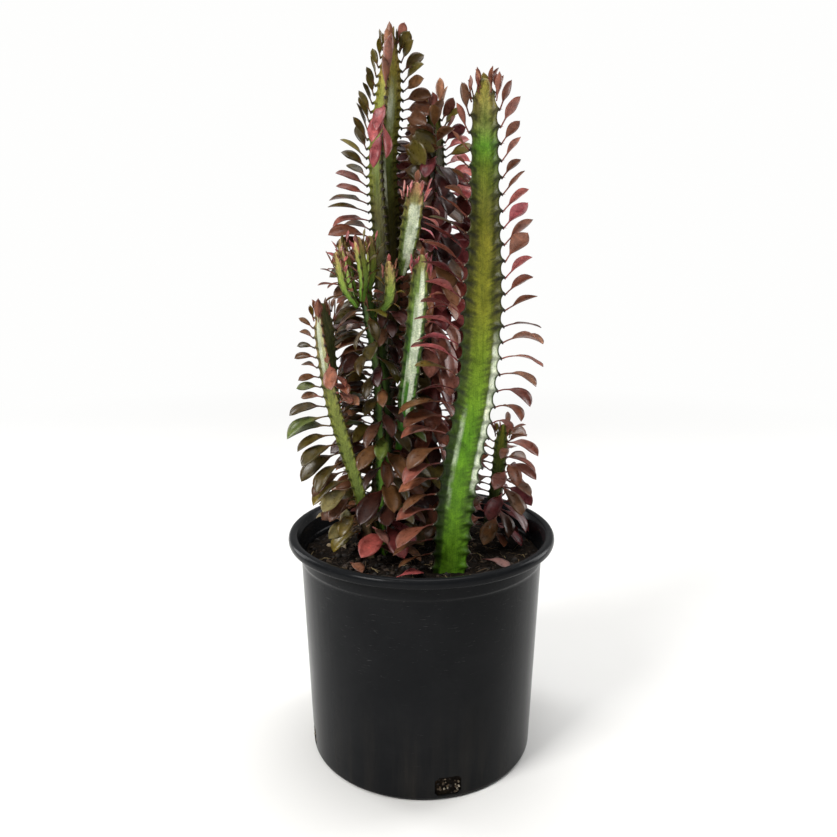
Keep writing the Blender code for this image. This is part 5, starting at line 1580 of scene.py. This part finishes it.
for hole in range(DRAIN_HOLES):
    middle = 2 * math.pi * ((DRAIN_FIRST_SEGMENT + 1) / POT_SEGMENTS + hole / DRAIN_HOLES)
    for q in range(30):
        z = rng.uniform(DRAIN_LOW + 0.0012, DRAIN_HIGH - 0.0014)
        a = middle + 2 * math.pi / POT_SEGMENTS * rng.uniform(-0.86, 0.86)
        rad = inner_radius(z) + rng.uniform(-0.0006, 0.0009)
        tone = rng.random()
        colour = ((0.012, 0.008, 0.005) if tone < 0.35 else (0.070, 0.048, 0.028) if tone < 0.7
                  else (0.20, 0.16, 0.11) if tone < 0.9 else (0.42, 0.38, 0.30))
        lump(v, f, c, Vector((rad * math.cos(a), rad * math.sin(a), z)),
             rng.uniform(0.0005, 0.0014), rng, colour)
crumbs = face_out(new_piece("soil_crumbs", v, f, [MAT_CRUMB], c))

# --------------------------------------------------------------------- pot
FINE = 4                     # fine facets for each facet of the solid pot


def make_fine_pot():
    seg = POT_SEGMENTS * FINE
    drain_r = lambda z: BASE_RADIUS + (SHOULDER_RADIUS - BASE_RADIUS) * (z - DRAIN_LOW) / (SHOULDER_HEIGHT - DRAIN_LOW)
    lip = POT_HEIGHT - RIM_DEPTH
    out = [(0, 0), (0.040, 0), (BASE_RADIUS - 0.0075, 0), (BASE_RADIUS - 0.0032, 0.0000),
           (BASE_RADIUS - 0.0016, 0.0004), (BASE_RADIUS - 0.0006, 0.0012), (BASE_RADIUS - 0.0001, 0.0024)]
    levels = [DRAIN_LOW + (DRAIN_HIGH - DRAIN_LOW) * q / 6 for q in range(7)]
    first = len(out)
    out += [(drain_r(z), z) for z in levels]
    out += [(drain_r(z), z) for z in (0.03, 0.05, 0.075, 0.10, 0.125, 0.15, 0.162, 0.168)]
    out += [(SHOULDER_RADIUS, SHOULDER_HEIGHT), (SHOULDER_RADIUS + 0.0003, SHOULDER_HEIGHT + 0.0005),
            (SHOULDER_RADIUS + 0.0009, SHOULDER_HEIGHT + 0.0014), (SHOULDER_RADIUS + 0.0011, SHOULDER_HEIGHT + 0.0026),
            (NECK_RADIUS - 0.0001, lip - 0.003), (NECK_RADIUS + 0.0001, lip + 0.0008),
            (NECK_RADIUS + 0.0008, lip + 0.0020), (RIM_OUTER_RADIUS - 0.0040, lip + 0.0021),
            (RIM_OUTER_RADIUS - 0.0026, lip + 0.0014), (RIM_OUTER_RADIUS - 0.0020, lip + 0.0004),
            (RIM_OUTER_RADIUS - 0.0013, lip), (RIM_OUTER_RADIUS - 0.0006, lip + 0.0004),
            (RIM_OUTER_RADIUS - 0.0002, lip + 0.0014), (RIM_OUTER_RADIUS, lip + 0.0030),
            (RIM_OUTER_RADIUS - 0.0002, lip + 0.0046), (RIM_OUTER_RADIUS - 0.0009, POT_HEIGHT - 0.0014),
            (RIM_OUTER_RADIUS - 0.0020, POT_HEIGHT - 0.0004), (RIM_OUTER_RADIUS - 0.0034, POT_HEIGHT),
            (RIM_INNER_RADIUS + 0.0010, POT_HEIGHT - 0.0002), (RIM_INNER_RADIUS, POT_HEIGHT - 0.0007),
            (RIM_INNER_RADIUS - 0.0010, POT_HEIGHT - 0.0018), (RIM_INNER_RADIUS - 0.0018, POT_HEIGHT - 0.0034),
            (NECK_RADIUS - WALL + 0.0005, POT_HEIGHT - 0.0050), (NECK_RADIUS - WALL, POT_HEIGHT - 0.0066),
            (SHOULDER_RADIUS + 0.0009 - WALL, SHOULDER_HEIGHT + 0.0034),
            (SHOULDER_RADIUS + 0.0005 - WALL, SHOULDER_HEIGHT + 0.0018),
            (SHOULDER_RADIUS - 0.0001 - WALL, SHOULDER_HEIGHT + 0.0010)]
    out += [(inner_radius(z), z) for z in (0.168, 0.15, 0.10, 0.05)]
    second = len(out)
    out += [(inner_radius(z), z) for z in reversed(levels)]
    out += [(BASE_RADIUS - WALL - 0.0004, FLOOR + 0.0006), (BASE_RADIUS - WALL - 0.0016, FLOOR), (0.05, FLOOR), (0, FLOOR)]
    verts, rings = turned(out, seg)
    step = seg // DRAIN_HOLES
    across = 2 * FINE
    for h in range(DRAIN_HOLES):
        for s, corner in ((1, 0), (across - 1, across)):
            for q, level in ((1, 0), (5, 6)):
                for base, flip in ((first, False), (second, True)):
                    row = lambda v: rings[base + (6 - v if flip else v)]
                    at = (DRAIN_FIRST_SEGMENT * FINE + h * step + s) % seg
                    away = (DRAIN_FIRST_SEGMENT * FINE + h * step + corner) % seg
                    here, there = row(q)[at], row(level)[away]
                    verts[here] = verts[here].lerp(verts[there], 0.42)
    gone = set()
    for h in range(DRAIN_HOLES):
        for s in range(across):
            for q in range(6):
                corner = (s in (0, across - 1)) and q in (0, 5)
                if not corner:
                    gone.add(((DRAIN_FIRST_SEGMENT * FINE + h * step + s) % seg, q))
    faces = []
    for i in range(len(out) - 1):
        for j in range(seg):
            q = i - first if first <= i < first + 6 else 5 - (i - second) if second <= i < second + 6 else None
            if q is not None and (j, q) in gone:
                continue
            faces.append(tuple(ring_faces(rings[i], rings[i + 1], j, seg)))
    for j, q in gone:
        k = (j + 1) % seg
        o0, o1 = rings[first + q], rings[first + q + 1]
        i0, i1 = rings[second + 6 - q], rings[second + 5 - q]
        if (j, q - 1) not in gone:
            faces.append((o0[j], o0[k], i0[k], i0[j]))
        if (j, q + 1) not in gone:
            faces.append((o1[k], o1[j], i1[j], i1[k]))
        if ((j - 1) % seg, q) not in gone:
            faces.append((o0[j], i0[j], i1[j], o1[j]))
        if (k, q) not in gone:
            faces.append((o0[k], o1[k], i1[k], i0[k]))
    return verts, faces


v, f = make_fine_pot()
pot = face_out(new_piece("fine_pot", v, f, [MAT_POT]))
pot.data.set_sharp_from_angle(angle=math.radians(50))
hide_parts("pot")

# ------------------------------------------------------------------- stage
floor = new_piece("studio_floor", [Vector((-40, -40, -0.0003)), Vector((40, -40, -0.0003)),
                                   Vector((40, 40, -0.0003)), Vector((-40, 40, -0.0003))],
                  [(0, 1, 2, 3)], [floor_material()], smooth=False)


def softbox(name, place, aim, size, power, colour=(1, 1, 1)):
    light = bpy.data.lights.new(name, 'AREA')
    light.shape = 'RECTANGLE'
    light.size, light.size_y = size
    light.energy = power
    light.color = colour
    obj = bpy.data.objects.new(name, light)
    obj.location = place
    obj.rotation_euler = (Vector(aim) - Vector(place)).to_track_quat('-Z', 'Y').to_euler()
    bpy.context.scene.collection.objects.link(obj)
    return obj


softbox("key", (-1.35, -1.25, 1.75), (0, 0, 0.35), (0.8, 0.8), 46, (1.0, 0.99, 0.97))
softbox("overhead", (0.15, 0.1, 2.3), (0, 0, 0.3), (1.5, 1.2), 26)
softbox("window_right", (1.6, 0.75, 0.85), (0, 0, 0.35), (0.7, 1.3), 17)
softbox("window_left", (-1.6, 0.85, 0.85), (0, 0, 0.35), (0.7, 1.3), 14)

world = bpy.data.worlds.new("studio")
bpy.context.scene.world = world
world.use_nodes = True
tree = world.node_tree
background = tree.nodes["Background"]
coord = tree.nodes.new("ShaderNodeTexCoord")
split = tree.nodes.new("ShaderNodeSeparateXYZ")
tree.links.new(coord.outputs["Generated"], split.inputs["Vector"])


def world_range(value, a, b, low, high):
    n = tree.nodes.new("ShaderNodeMapRange")
    n.interpolation_type = 'SMOOTHSTEP'
    n.inputs["From Min"].default_value = a
    n.inputs["From Max"].default_value = b
    n.inputs["To Min"].default_value = low
    n.inputs["To Max"].default_value = high
    tree.links.new(value, n.inputs["Value"])
    return n.outputs["Result"]


dome = tree.nodes.new("ShaderNodeMath")
tree.links.new(world_range(split.outputs["Y"], -0.10, 0.50, 0.06, 0.34), dome.inputs[0])
tree.links.new(world_range(split.outputs["Z"], 0.2, 1.0, 0.0, 0.30), dome.inputs[1])
path = tree.nodes.new("ShaderNodeLightPath")
pick = tree.nodes.new("ShaderNodeMix")
pick.data_type = 'FLOAT'
tree.links.new(dome.outputs[0], pick.inputs[2])
pick.inputs[3].default_value = 1.0
tree.links.new(path.outputs["Is Camera Ray"], pick.inputs[0])
tree.links.new(pick.outputs[0], background.inputs["Strength"])
background.inputs["Color"].default_value = (*PALE, 1)
bpy.context.scene.view_settings.view_transform = 'Standard'

lens = bpy.data.cameras.new("camera")
lens.sensor_width = 36.0
lens.lens = 36.0 * 786.17 / 837.0
lens.clip_start = 0.01
lens.clip_end = 50
camera = bpy.data.objects.new("camera", lens)
camera.location = (0.0, -0.6303, 0.4201)
camera.rotation_euler = (math.radians(90) - 0.2118, 0.0, 0.0038)
bpy.context.scene.collection.objects.link(camera)
bpy.context.scene.camera = camera
